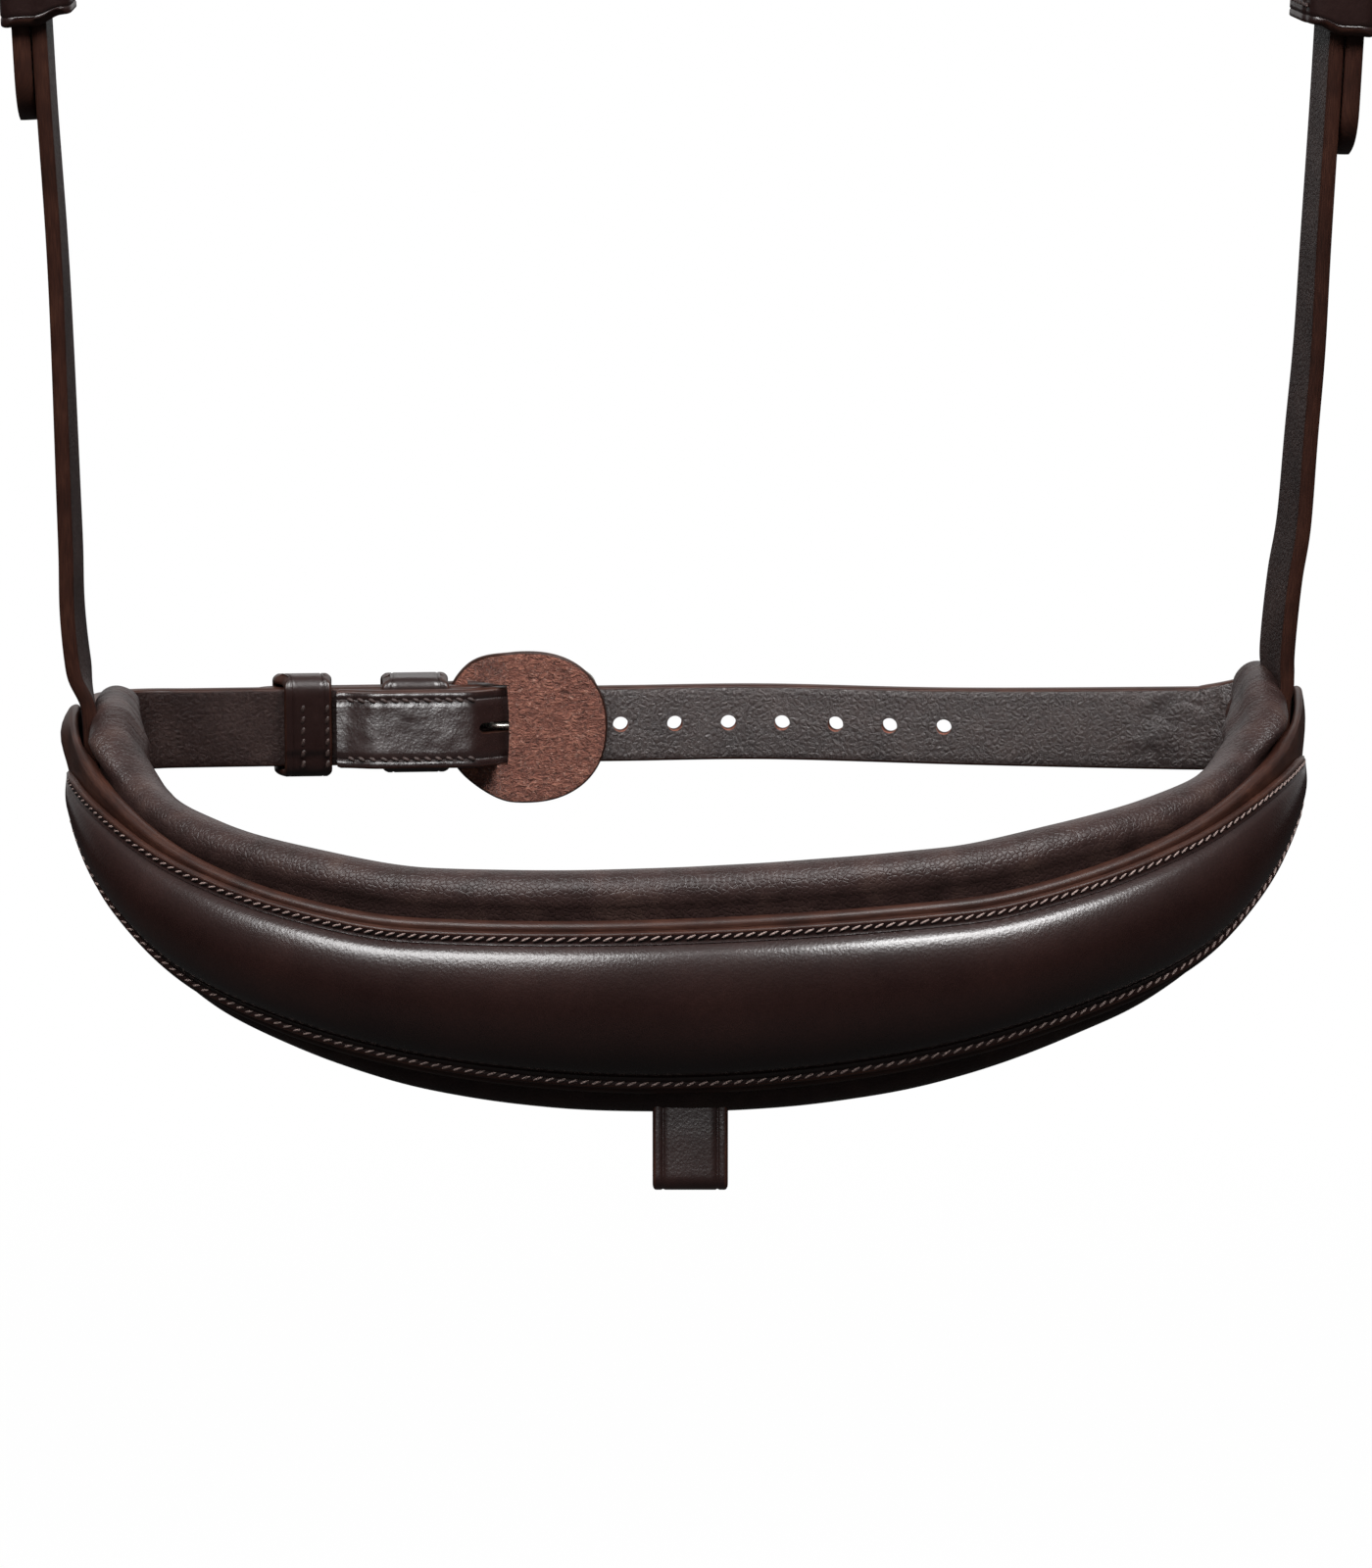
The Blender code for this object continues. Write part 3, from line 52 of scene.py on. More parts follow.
BASE_TOP, BASE_BOTTOM = -0.0062, -0.0384
COVER_TOP, COVER_BOTTOM = -0.0078, -0.0369
LINING_TOP, LINING_BOTTOM = 0.0017, -0.0429
TOP_CLIMB, BOTTOM_CLIMB = 0.0237, 0.0340
BASE_TOP_SHARES = (
    (0, 0), (0.31, 0), (0.46, 0.09), (0.62, 0.29), (0.77, 0.57), (0.93, 0.87), (1.0, 0.98), (1.06, 1.0))
BASE_BOTTOM_SHARES = (
    (0, 0), (0.155, 0.024), (0.31, 0.094), (0.46, 0.21), (0.62, 0.394), (0.77, 0.64), (0.93, 0.92),
    (1.06, 1.02))
COVER_TOP_SHARES = ((0, 0), (0.31, 0), (0.46, 0.10), (0.62, 0.29), (0.77, 0.52), (0.87, 0.62), (0.94, 0.66))
COVER_BOTTOM_SHARES = (
    (0, 0), (0.155, 0.026), (0.31, 0.097), (0.46, 0.22), (0.62, 0.41), (0.77, 0.69), (0.87, 0.93),
    (0.94, 1.12))
LINING_TOP_SHARES = (
    (0, 0), (0.31, 0), (0.46, 0.075), (0.62, 0.17), (0.77, 0.35), (0.86, 0.66), (0.93, 0.86), (1.05, 0.92))
LINING_BOTTOM_SHARES = (
    (0, 0), (0.155, 0.018), (0.31, 0.09), (0.46, 0.23), (0.62, 0.435), (0.77, 0.70), (0.93, 1.0),
    (1.05, 1.06))
ROLL = math.radians(0.9)
WAVE, WAVE_LENGTH_SHARE = 0.0013, 0.9
LOWER_EDGE_SHIFTS = {
    -1: ((0, 0), (0.58, 0), (0.77, 0.0014), (0.90, 0.0027), (1.05, 0.0044)),
    1: ((0, 0), (0.40, 0), (0.66, -0.0013), (0.80, 0), (1.05, 0.0015))}
DOME_HEIGHT, DOME_FULLNESS, MARGIN = 0.0044, 0.7, 0.0024
DOME_SHARES = ((0, 1.0), (0.45, 0.98), (0.62, 0.86), (0.77, 0.52), (0.87, 0.20), (0.94, 0.05))
COVER_END_SHARE, COVER_TIP = 0.94, 0.012
ROLL_RADIUS, FOOT_RADIUS = 0.0048, 0.0030
ROLL_SHARES = ((0, 1.0), (0.62, 0.98), (0.85, 1.0), (0.95, 0.88), (1.04, 0.78))
FOOT_SHARES = ((0, 1.0), (0.77, 0.85), (1.05, 0.7))
LINING_WRAP, LINING_WRAP_TIP = 0.024, 0.12
ROLL_LEAN, ROLL_END_DROP = {-1: 0.0024, 1: 0.0034}, {-1: 0.0024, 1: 0.0010}
ROLL_LEAN_SHARES = ((0.55, 0), (0.72, 0.35), (0.84, 0.9), (0.89, 1.0), (0.93, 0.75), (1.0, 0.3), (1.04, 0))
HANGER_WIDTH, HANGER_BACK, HANGER_TUCK, HANGER_TOP = 0.014, 0.0008, 0.0010, 0.1855
HANGER_SPLAY, HANGER_TWIST_LEFT = math.radians(2.4), math.radians(4)
HANGER_TWIST_RIGHT, TOP_TWIST_RIGHT = math.radians(13), math.radians(8)
HANGER_OUTSET = 0.0072
HANGER_LEFT_SHARES = ((0.13, 0.25), (0.19, 0.39), (0.25, 0.40), (0.31, 0.433), (0.46, 0.517), (0.57, 0.611))
HANGER_RIGHT_SHARES = (
    (0.13, -0.17), (0.162, -0.16), (0.226, -0.01), (0.28, 0.194), (0.37, 0.344), (0.46, 0.511),
    (0.57, 0.628))
BAR_RADIUS, FRAME_LENGTH, FRAME_LIFT, FRAME_SIDE_GAP = 0.0012, 0.016, 0.0005, 0.0005
TONGUE_BEND = 0.003
TONGUE_RADIUS, TONGUE_EYE, TONGUE_OVERHANG, TONGUE_SLOT_BACK = 0.0008, 0.0042, 0.0018, 0.0060
TONGUE_EYE_FULLNESS = 0.5
FOLD_RUN, HOLE_SLOT_START, HOLE_SLOT_END, HOLE_SLOT_SIDE, SLACK = 0.0080, 0.0012, 0.0086, 0.0004, 0.0003
JAW_BAR, JAW_HEADING = Vector((-0.0345, 0.0296, 0.0060)), math.radians(4)
JAW_WIDTH, JAW_ROOT_WIDTH, JAW_CORNER = 0.0156, 0.0168, 0.017
JAW_ROOT_START, JAW_STRAIGHT, JAW_ROOT_HEIGHT = 0.0008, 0.0070, 0.0013
JAW_PLY_DROP, JAW_TAIL = -0.0025, 0.0335
JAW_FIXED_KEEPER, JAW_RUNNER = (-0.0182, 0.0132), (-0.0401, 0.0115)
BILLET_WIDTH, BILLET_ROOT_WIDTH, BILLET_TIP = 0.0150, 0.0168, -0.056
BILLET_RISE_FROM, BILLET_RISE_TO, BILLET_SETTLE, BILLET_ROOT_LIFT = -0.0215, -0.005, 0.0125, 0.0066
BILLET_BULGE_SHARES = ((0.30, 0.030), (0.62, 0.002))
HOLE_RADIUS, HOLE_PITCH, FIRST_HOLE, HOLE_COUNT = 0.0015, 0.01055, 0.0216, 7
GUARD_HALF_LENGTH, GUARD_HALF_WIDTH, GUARD_CENTRE, GUARD_FULLNESS = 0.0158, 0.0150, 0.0031, 2.25
GUARD_OUTER_LEVEL, GUARD_INNER_LEVEL = 0.00115, -0.0049
GUARD_BEND_FROM, GUARD_BEND_TO, GUARD_SLOT_FROM, GUARD_SLOT_TO = -0.0085, 0.0004, -0.0080, -0.0002
TOP_TAIL, TOP_FIXED_KEEPER, KEEPER_WALL, TOP_KEEPER_WALL = 0.0360, (-0.0145, 0.0110), 0.0015, 0.0016
FIXED_KEEPER_WALL = 0.0012
TOP_RUNNERS = {-1: (-0.0342, 0.0110), 1: (-0.0360, 0.0110)}
TOP_TIPS = {-1: -0.0575, 1: -0.0640}
TOP_HOLE_COUNT, TOP_HOLE_PITCH, TOP_SPARE_HOLE_SHARE = 3, 0.020, 2.35
ARCH_SPRING, ARCH_RISE, ARCH_OUTSET, CROWN_WIDTH, CROWN_END_SHARE = 0.262, 0.126, 0.0045, 0.036, 0.389
CROWN_WIDTH_SHARES = (
    (0, CROWN_END_SHARE), (0.25, CROWN_END_SHARE), (0.36, 0.72), (0.43, 1.0), (0.57, 1.0), (0.64, 0.72),
    (0.75, CROWN_END_SHARE), (1.0, CROWN_END_SHARE))
CROWN_TWIST_SHARE, CROWN_PAD_SPREAD = 0.24, math.radians(52)
CROWN_PAD_THICKNESS, CROWN_PAD_OVERHANG, CROWN_PAD_TIP_SHARE = 0.0080, 0.0030, 0.62
FLASH_WIDTH, FLASH_AXIS, FLASH_ARC, FLASH_TAB = 0.0136, -0.0395, 0.0008, 0.0024
FLASH_DROP, FLASH_OPENING, FLASH_CORNER = 0.0172, 0.0052, 0.0008
FLASH_POCKET_GAP, FLASH_INSET = 0.0006, 0.0012

# Sizes that only the looks need
STEP, BAND_STEP, LINING_STEP = 0.0007, 0.0012, 0.0008   # distance between the sections of a strap or band
EDGE_ROUND, BASE_ROUND, COVER_ROUND, KEEPER_ROUND = 0.0006, 0.0013, 0.0005, 0.0005
END_SHARE = 0.965       # size of a strap's last ring
BAND_TIP_STEPS = (0.00012, 0.0003, 0.0006, 0.001, 0.0015, 0.0022, 0.003)
CREASE_INSET, CREASE_HALF, CREASE_DEPTH = 0.0019, 0.00035, 0.00016
CREASE_STEPS = ((-1.0, 0), (-0.5, 0.6), (0, 1.0), (0.5, 0.6), (1.0, 0))
SEAM_GROOVE = ((0.35, 0.0), (0.5, 0.00018), (0.66, 0.00026), (0.82, 0.00016), (0.94, 0.0), (1.0, 0.00012))
KEEPER_CORNER, KEEPER_LAP_SHARE, KEEPER_LAP_SHIFT, KEEPER_LAP_STEP = 0.0017, 0.80, 0.0010, 0.00045
BAND_SEAM_END, BAND_SEAM_INSETS, BAND_SEAM_LEAD = 0.006, {1: 0.0011, -1: -0.0010}, 0.0005
TURNED_SEAM_START, TURNED_SEAM_END, TURNED_SEAM_INSET = 0.0075, 0.0016, 0.0020
CROWN_SEAM_REACH, CROWN_SEAM_PITCH, CROWN_SEAM_INSET = 0.108, 0.0028, 0.0034
KEEPER_SEAM_PITCH, KEEPER_SEAM_INSET = 0.0022, 0.0010
HANGER_SEAM_SINK = 0.00022      # lets the runner keeper slide over the stitches
GATHERED_FROM_TO = (0.076, 0.094)   # where the jaw strap's right end is gathered, along x
PUCKER, CRUMPLE, CROWN_PUCKER = (0.00022, 0.00025), 0.0011, 0.0002  # heights of the pads' small folds
FLAT_SIDE = 0.0004                  # a pad is flat up to this depth
LEAN_BELOW, LEAN_HEIGHT = 0.0014, 0.0050    # the lining starts to lean out below the base strap's top
JAW_PAD_INSET, JAW_PAD_LIFT, PAD_PUFF, CROWN_PAD_PUFF = 0.0012, 0.0022, 0.0004, 0.0008
EAR_FLARE_FOOT, EAR_FLARE_RISE = 0.30, 0.70     # shares of the ear's height
GUARD_RIM, GUARD_SLOT_BOW, GUARD_SLOT_CORNER = 0.0004, 0.0004, (0.0006, 0.0008)

# Where a form changes, as the start and length of the change, in shares of the strap or band
EAR_RUN, SEAT_RUN, ROLL_END_RUN, WORN_RUN = (0.93, 0.07), (0.85, 0.055), (0.84, 0.12), (0.62, 0.3)
JAW_PAD_RUN, BILLET_WIDER_RUN = (0.15, 0.65), (0.35, 0.6)
HANGER_TURN, HANGER_STRAIGHTEN = (0.095, 0.035), (0.130, 0.570)

# Stitches: the usual pitch, and each kind's length, width and height
STITCH_PITCH = 0.0021
BAND_STITCH, CROWN_STITCH = (0.0021, 0.00050, 0.00055), (0.0023, 0.0006, 0.0005)
TURNED_STITCH, KEEPER_STITCH = (0.0017, 0.0009, 0.0008), (0.0019, 0.0009, 0.0007)
BAND_SLANT, CROWN_SLANT, TURNED_SLANT, KEEPER_SLANT = 0.42, 0.3, 0.55, 0.25     # sideways to lengthways
KEEPER_SEAM_LIFT, KEEPER_SEAM_MARGIN, KEEPER_SEAM_CLEAR = 0.0003, 0.003, 0.0001
BAND_SEAM_SINK = 0.0001


def lerp(a, b, t):
    """The value a share t of the way from a to b."""
    return a + (b - a) * t


def ease(t):
    """0 up to t = 0 and 1 from t = 1, with a soft S between."""
    t = min(max(t, 0), 1)
    return t * t * (3 - 2 * t)


def eased(value, run):
    """0 before a run, 1 past it, and a soft S along it. The run is given as its start and length."""
    start, length = run
    return ease((value - start) / length)


def look_up(pairs, share):
    """A smooth curve through a table of (place, value) pairs."""
    if share <= pairs[0][0]:
        return pairs[0][1]
    for i in range(len(pairs) - 1):
        if share <= pairs[i + 1][0]:
            break
    else:
        return pairs[-1][1]
    before, start, end = pairs[max(i - 1, 0)], pairs[i], pairs[i + 1]
    after = pairs[min(i + 2, len(pairs) - 1)]
    span = end[0] - start[0]
    t = (share - start[0]) / span
    slope_in = (end[1] - before[1]) / (end[0] - before[0]) * span
    slope_out = (after[1] - start[1]) / (after[0] - start[0]) * span
    if start[1] == before[1] or end[1] == start[1]:
        slope_in = 0
    if end[1] == start[1]:
        slope_out = 0
    return ((2 * t**3 - 3 * t**2 + 1) * start[1] + (t**3 - 2 * t**2 + t) * slope_in
            + (3 * t**2 - 2 * t**3) * end[1] + (t**3 - t**2) * slope_out)


# Finishes. A pattern's scale counts its features along a metre: 900 makes a grain about 1.1 mm wide. The
# real pores, fibres and nap are finer than the render can show, so they are drawn from 0.3 to 1.1 mm wide.

def linear(code):
    """A colour written as sRGB hex, as linear values."""
    parts = [int(code[i:i + 2], 16) / 255 for i in (1, 3, 5)]
    return tuple(c / 12.92 if c <= 0.04045 else ((c + 0.055) / 1.055) ** 2.4 for c in parts) + (1.0,)


def add(tree, kind, inputs=None, stops=(), **settings):
    """Adds one node with its settings. An input is a value, another node's output, or a node, which stands
    for its first output. Stops are a colour ramp's places with their colours or grey values."""
    node = tree.nodes.new(kind if "Node" in kind else "ShaderNode" + kind)
    for name, value in settings.items():
        setattr(node, name, value)
    for name, value in (inputs or {}).items():
        if isinstance(value, bpy.types.Node):
            value = value.outputs[0]
        if isinstance(value, bpy.types.NodeSocket):
            tree.links.new(value, node.inputs[name])
        else:
            node.inputs[name].default_value = value
    while stops and len(node.color_ramp.elements) < len(stops):
        node.color_ramp.elements.new(0.5)
    for i, (place, colour) in enumerate(stops):
        element = node.color_ramp.elements[i]
        element.position = place
        element.color = linear(colour) if isinstance(colour, str) else (colour, colour, colour, 1)
    return node


def new_finish(name):
    """An empty material, its tree and its texture coordinates."""
    material = bpy.data.materials.new(name)
    material.use_nodes = True
    tree = material.node_tree
    tree.nodes.clear()
    return material, tree, add(tree, "TexCoord")


def close_finish(material, inputs):
    """Ends a material in its surface."""
    tree = material.node_tree
    add(tree, "OutputMaterial", {"Surface": add(tree, "BsdfPrincipled", inputs)})
    return material


def polished_leather(name, smooth, rough, waves, shine=0.55):
    """Vegetable-tanned bridle leather, dyed dark brown, waxed and glazed: nearly black, with a soft broad
    shine. Where it is bent or turned back it has low waves, which break its shine up."""
    material, tree, place = new_finish(name)
    at = place.outputs["Object"]
    cloud = add(tree, "TexNoise", {"Vector": at, "Scale": 45.0, "Detail": 3.0, "Roughness": 0.6})
    streak = add(tree, "TexNoise", {"Vector": at, "Scale": 900.0, "Detail": 4.0, "Roughness": 0.7})
    tone = add(tree, "Mix", {"Factor": 0.35, "A": cloud, "B": streak})
    colour = add(tree, "ValToRGB", {"Fac": tone}, ((0.26, "#180c0b"), (0.52, "#211210"), (0.80, "#2b1815")))
    gloss = add(tree, "ValToRGB", {"Fac": tone}, ((0.25, smooth), (0.75, rough)))
    pores = add(tree, "TexVoronoi", {"Vector": at, "Scale": 1700.0})
    fine = add(tree, "TexNoise", {"Vector": at, "Scale": 3200.0, "Detail": 3.0})
    grain = add(tree, "Mix", {"Factor": 0.5, "A": pores, "B": fine})
    swell = add(tree, "TexNoise", {"Vector": at, "Scale": 120.0})
    soft = add(tree, "Bump", {"Strength": waves, "Distance": 0.0006, "Height": swell})
    bump = add(tree, "Bump", {"Strength": 0.3, "Distance": 0.00012, "Height": grain, "Normal": soft})
    return close_finish(material, {
        "Base Color": colour, "Roughness": gloss, "IOR": 1.5, "Specular IOR Level": shine, "Normal": bump})


def cut_edge():
    """Cut leather edges, stained and burnished: warmer brown than the face, with fibre lines along them. The
    lines are 4 mm long and 0.2 mm apart."""
    material, tree, place = new_finish("burnished_leather_edge")
    lines = add(tree, "Mapping", {"Vector": place.outputs["UV"], "Scale": (260.0, 5200.0, 1.0)})
    fibre = add(tree, "TexNoise", {"Vector": lines, "Scale": 1.0, "Detail": 3.0, "Roughness": 0.65})
    cloud = add(tree, "TexNoise", {"Vector": place.outputs["Object"], "Scale": 130.0})
    tone = add(tree, "Mix", {"Factor": 0.4, "A": fibre, "B": cloud})
    colour = add(tree, "ValToRGB", {"Fac": tone}, ((0.32, "#1c0f0b"), (0.50, "#2d1812"), (0.70, "#42281e")))
    bump = add(tree, "Bump", {"Strength": 0.35, "Distance": 0.00010, "Height": fibre})
    return close_finish(material, {
        "Base Color": colour, "Roughness": 0.40, "IOR": 1.5, "Specular IOR Level": 0.26, "Normal": bump})


def flesh_side(name, gathered, shine):
    """The inner side of a dyed strap, slicked down: grey brown, matt, with fine fibres and pale flecks. The
    jaw strap's is gathered in folds at its right end, where the lining is drawn over it."""
    material, tree, place = new_finish(name)
    at = place.outputs["Object"]
    fibre = add(tree, "TexNoise", {
        "Vector": at, "Scale": 1100.0, "Detail": 5.0, "Roughness": 0.75, "Distortion": 0.8})
    cloud = add(tree, "TexNoise", {"Vector": at, "Scale": 110.0, "Detail": 3.0})
    tone = add(tree, "Mix", {"Factor": 0.45, "A": fibre, "B": cloud})
    colour = add(tree, "ValToRGB", {"Fac": tone}, ((0.34, "#1c1211"), (0.50, "#281c1a"), (0.68, "#3a2d2a")))
    pits = add(tree, "TexVoronoi", {"Vector": at, "Scale": 900.0}, feature="DISTANCE_TO_EDGE")
    relief = add(tree, "Mix", {"Factor": 0.55, "A": pits, "B": fibre})
    ways = add(tree, "SeparateXYZ", {"Vector": at})
    start, full = GATHERED_FROM_TO
    end = add(tree, "MapRange", {"Value": ways, "From Min": start, "From Max": full, "To Max": gathered})
    ruck = add(tree, "TexNoise", {"Vector": at, "Scale": 170.0, "Distortion": 0.5},
               noise_type="RIDGED_MULTIFRACTAL")
    folds = add(tree, "Bump", {"Strength": end, "Distance": 0.0016, "Height": ruck})
    bump = add(tree, "Bump", {"Strength": 0.85, "Distance": 0.00060, "Height": relief, "Normal": folds})
    return close_finish(material, {
        "Base Color": colour, "Roughness": 0.40, "IOR": 1.5, "Specular IOR Level": shine, "Normal": bump})


def padding_leather():
    """Soft milled leather over the pads: dark brown, with a fine pebble grain that breaks up its low shine.
    It has creases across it, 1.6 mm wide, where its folded attribute says so."""
    material, tree, place = new_finish("pebbled_padding_leather")
    at = place.outputs["Object"]
    cloud = add(tree, "TexNoise", {"Vector": at, "Scale": 160.0, "Detail": 3.0})
    colour = add(tree, "ValToRGB", {"Fac": cloud}, ((0.32, "#231715"), (0.52, "#2c1e1c"), (0.72, "#372824")))
    pebble = add(tree, "TexVoronoi", {"Vector": at, "Scale": 1050.0}, feature="DISTANCE_TO_EDGE")
    round_off = add(tree, "ValToRGB", {"Fac": pebble}, ((0.0, 0.0), (0.16, 0.7), (0.5, 1.0)))
    fine = add(tree, "TexNoise", {"Vector": at, "Scale": 3600.0})
    relief = add(tree, "Mix", {"Factor": 0.25, "A": round_off, "B": fine})
    across = add(tree, "Mapping", {"Vector": place.outputs["UV"], "Scale": (620.0, 90.0, 1.0)})
    folds = add(tree, "TexNoise", {"Vector": across, "Scale": 1.0, "Distortion": 0.6})
    folded = add(tree, "Attribute", attribute_name="folded")
    amount = add(tree, "Math", {0: folds, 1: folded.outputs["Fac"]}, operation="MULTIPLY")
    creases = add(tree, "Bump", {"Strength": 0.6, "Distance": 0.0006, "Height": amount})
    bump = add(tree, "Bump", {"Strength": 0.5, "Distance": 0.00018, "Height": relief, "Normal": creases})
    return close_finish(material, {
        "Base Color": colour, "Roughness": 0.42, "IOR": 1.5, "Specular IOR Level": 0.27, "Normal": bump})


def brushed_suede():
    """Undyed flesh of a brown hide, brushed: reddish and matt, with a crinkled nap and pale fibre flecks."""
    material, tree, place = new_finish("brushed_suede")
    at = place.outputs["Object"]
    flat = add(tree, "Mapping", {"Vector": at, "Scale": (0.65, 0.65, 1.0)})
    nap = add(tree, "TexNoise", {
        "Vector": flat, "Scale": 1250.0, "Detail": 3.0, "Roughness": 0.65, "Distortion": 1.0})
    fleck = add(tree, "TexNoise", {"Vector": at, "Scale": 1100.0, "Detail": 3.0, "Roughness": 0.8})
    cloud = add(tree, "TexNoise", {"Vector": at, "Scale": 140.0})
    tone = add(tree, "Mix", {"Factor": 0.15, "A": nap, "B": cloud})
    ground = add(tree, "ValToRGB", {"Fac": tone}, ((0.34, "#4f2c22"), (0.50, "#704134"), (0.66, "#94614f")))
    pale = add(tree, "ValToRGB", {"Fac": fleck}, ((0.57, 0.0), (0.68, 0.5)))
    colour = add(tree, "Mix", {0: pale, 6: ground, 7: linear("#bd9585")}, data_type="RGBA")
    bump = add(tree, "Bump", {"Strength": 1.0, "Distance": 0.0009, "Height": nap})
    return close_finish(material, {
        "Base Color": colour.outputs[2], "Roughness": 0.92, "Sheen Weight": 0.15, "Normal": bump})


def fibrous(name, scale, detail, colours, roughness, relief):
    """A dry, dull stuff of fibres or strands."""
    material, tree, place = new_finish(name)
    strands = add(tree, "TexNoise", {"Vector": place.outputs["Object"], "Scale": scale, "Detail": detail})
    colour = add(tree, "ValToRGB", {"Fac": strands}, ((0.35, colours[0]), (0.65, colours[1])))
    bump = add(tree, "Bump", {"Strength": 0.5, "Distance": relief, "Height": strands})
    return close_finish(material, {"Base Color": colour, "Roughness": roughness, "Normal": bump})


def polished_nickel():
    """Solid nickel wire, polished: bright and warm, with faint turning marks."""
    material, tree, place = new_finish("polished_nickel")
    marks = add(tree, "TexNoise", {"Vector": place.outputs["Object"], "Scale": 2400.0, "Detail": 3.0})
    gloss = add(tree, "ValToRGB", {"Fac": marks}, ((0.3, 0.22), (0.7, 0.34)))
    tint = add(tree, "ValToRGB", {"Fac": marks}, ((0.3, "#cfcbc3"), (0.7, "#dedbd4")))
    return close_finish(material, {"Base Color": tint, "Metallic": 1.0, "Roughness": gloss})


GRAIN = polished_leather("polished_bridle_leather", 0.25, 0.31, 0.12)
WORN = polished_leather("bent_bridle_leather", 0.30, 0.40, 0.55)
TURNED = polished_leather("turned_bridle_leather", 0.22, 0.32, 0.8, 0.95)
EDGE = cut_edge()
FLESH = flesh_side("slicked_flesh_side", 0.0, 0.15)
RUCKED = flesh_side("gathered_flesh_side", 0.8, 0.95)
PADDING = padding_leather()
SUEDE = brushed_suede()
NICKEL = polished_nickel()
# Waxed linen thread, laid from strands 0.26 mm wide: dull, with a low sheen on its ridges
THREAD = fibrous("taupe_waxed_thread", 3800.0, 2.0, ("#5e4c48", "#948079"), 0.6, 0.00008)
DARK_THREAD = fibrous("dark_waxed_thread", 3800.0, 2.0, ("#1a0f0d", "#3a2722"), 0.6, 0.00008)
# The raw walls of a punched hole: undyed reddish leather, dry and fibrous
HOLE = fibrous("punched_hole_wall", 2600.0, 4.0, ("#55291b", "#8a4f3b"), 0.85, 0.0001)
# Each strap's face, edge and inner side
STRAP_FINISHES, WORN_FINISHES, TURNED_FINISHES = [(face, EDGE, FLESH) for face in (GRAIN, WORN, TURNED)]


# Meshes

def show(name, data):
    """A new object in the scene."""
    thing = bpy.data.objects.new(name, data)
    bpy.context.scene.collection.objects.link(thing)
    return thing


def place_piece(name, mesh, body, slot, *nodes):
    """Links a finished mesh, lets it ride on its body and stand for the nodes that it replaces."""
    piece = show(name, mesh)
    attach(piece, body)
    if nodes:
        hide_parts(*nodes)
    return piece


def skin(name, rows, finishes, zones, joined=False, folded=None):
    """A closed body through rings of points. zones gives a finish to each strip round the ring.
    Its UV map holds metres: along the rings, and round them."""
    rows = np.array([[tuple(p) for p in row] for row in rows])
    count, width = rows.shape[:2]
    verts = rows.reshape(-1, 3).tolist()
    steps = np.linalg.norm(np.diff(rows, axis=0), axis=2).mean(axis=1)
    along = np.concatenate(([0], np.cumsum(steps)))
    closed = np.concatenate((rows, rows[:, :1]), axis=1)
    gaps = np.linalg.norm(np.diff(closed, axis=1), axis=2)
    around = np.concatenate((np.zeros((count, 1)), np.cumsum(gaps, axis=1)), axis=1)
    faces, marks, corners = [], [], []
    last = count if joined else count - 1
    for i in range(last):
        k = (i + 1) % count
        u0 = along[i]
        u1 = along[i] + np.linalg.norm(rows[k] - rows[i], axis=1).mean()
        for j in range(width):
            m = (j + 1) % width
            faces.append((i * width + j, i * width + m, k * width + m, k * width + j))
            marks.append(zones[j])
            corners += [(u, around[row, column]) for u, row, column in (
                (u0, i, j), (u0, i, j + 1), (u1, k, j + 1), (u1, k, j))]
    if not joined:
        for row, u in ((0, along[0]), (count - 1, along[-1])):
            verts.append(rows[row].mean(axis=0).tolist())
            hub = len(verts) - 1
            for j in range(width):
                faces.append((row * width + j, row * width + (j + 1) % width, hub))
                marks.append(min(1, len(finishes) - 1))
                corners += [(u, around[row, j]), (u, around[row, j + 1]), (u, around[row, j])]
    mesh = bpy.data.meshes.new(name)
    mesh.from_pydata(verts, [], faces)
    for finish in finishes:
        mesh.materials.append(finish)
    mesh.polygons.foreach_set("material_index", marks)
    layer = mesh.uv_layers.new(name="surface")
    layer.data.foreach_set("uv", np.array(corners, float).reshape(-1))
    if folded is not None:
        values = np.concatenate((np.repeat(folded, width), np.zeros(len(verts) - count * width)))
        mesh.attributes.new("folded", "FLOAT", "POINT").data.foreach_set("value", values)
    tidy_normals(mesh)
    return mesh


def tidy_normals(mesh):
    """Faces outwards, and smooth but for sharp corners."""
    shape = bmesh.new()
    shape.from_mesh(mesh)
    bmesh.ops.recalc_face_normals(shape, faces=shape.faces)
    shape.to_mesh(mesh)
    shape.free()
    mesh.shade_smooth()
    mesh.set_sharp_from_angle(angle=math.radians(50))


def applied(thing):
    """The mesh that an object's modifiers make. The object itself goes."""
    bpy.context.view_layer.update()
    mesh = bpy.data.meshes.new_from_object(thing.evaluated_get(bpy.context.evaluated_depsgraph_get()))
    bpy.data.objects.remove(thing)
    return mesh


def cut_with(mesh, cutters):
    """Cuts closed shapes out of a mesh. The walls of the cut take the cutters' finish."""
    body = show("uncut", mesh)
    tools = [show("cutter", cutter) for cutter in cutters]
    for tool in tools:
        modifier = body.modifiers.new("cut", "BOOLEAN")
        modifier.operation, modifier.object, modifier.solver = "DIFFERENCE", tool, "EXACT"
        modifier.material_mode = "TRANSFER"
    result = applied(body)
    for tool in tools:
        bpy.data.objects.remove(tool)
    result.shade_smooth()
    result.set_sharp_from_angle(angle=math.radians(40))
    return result


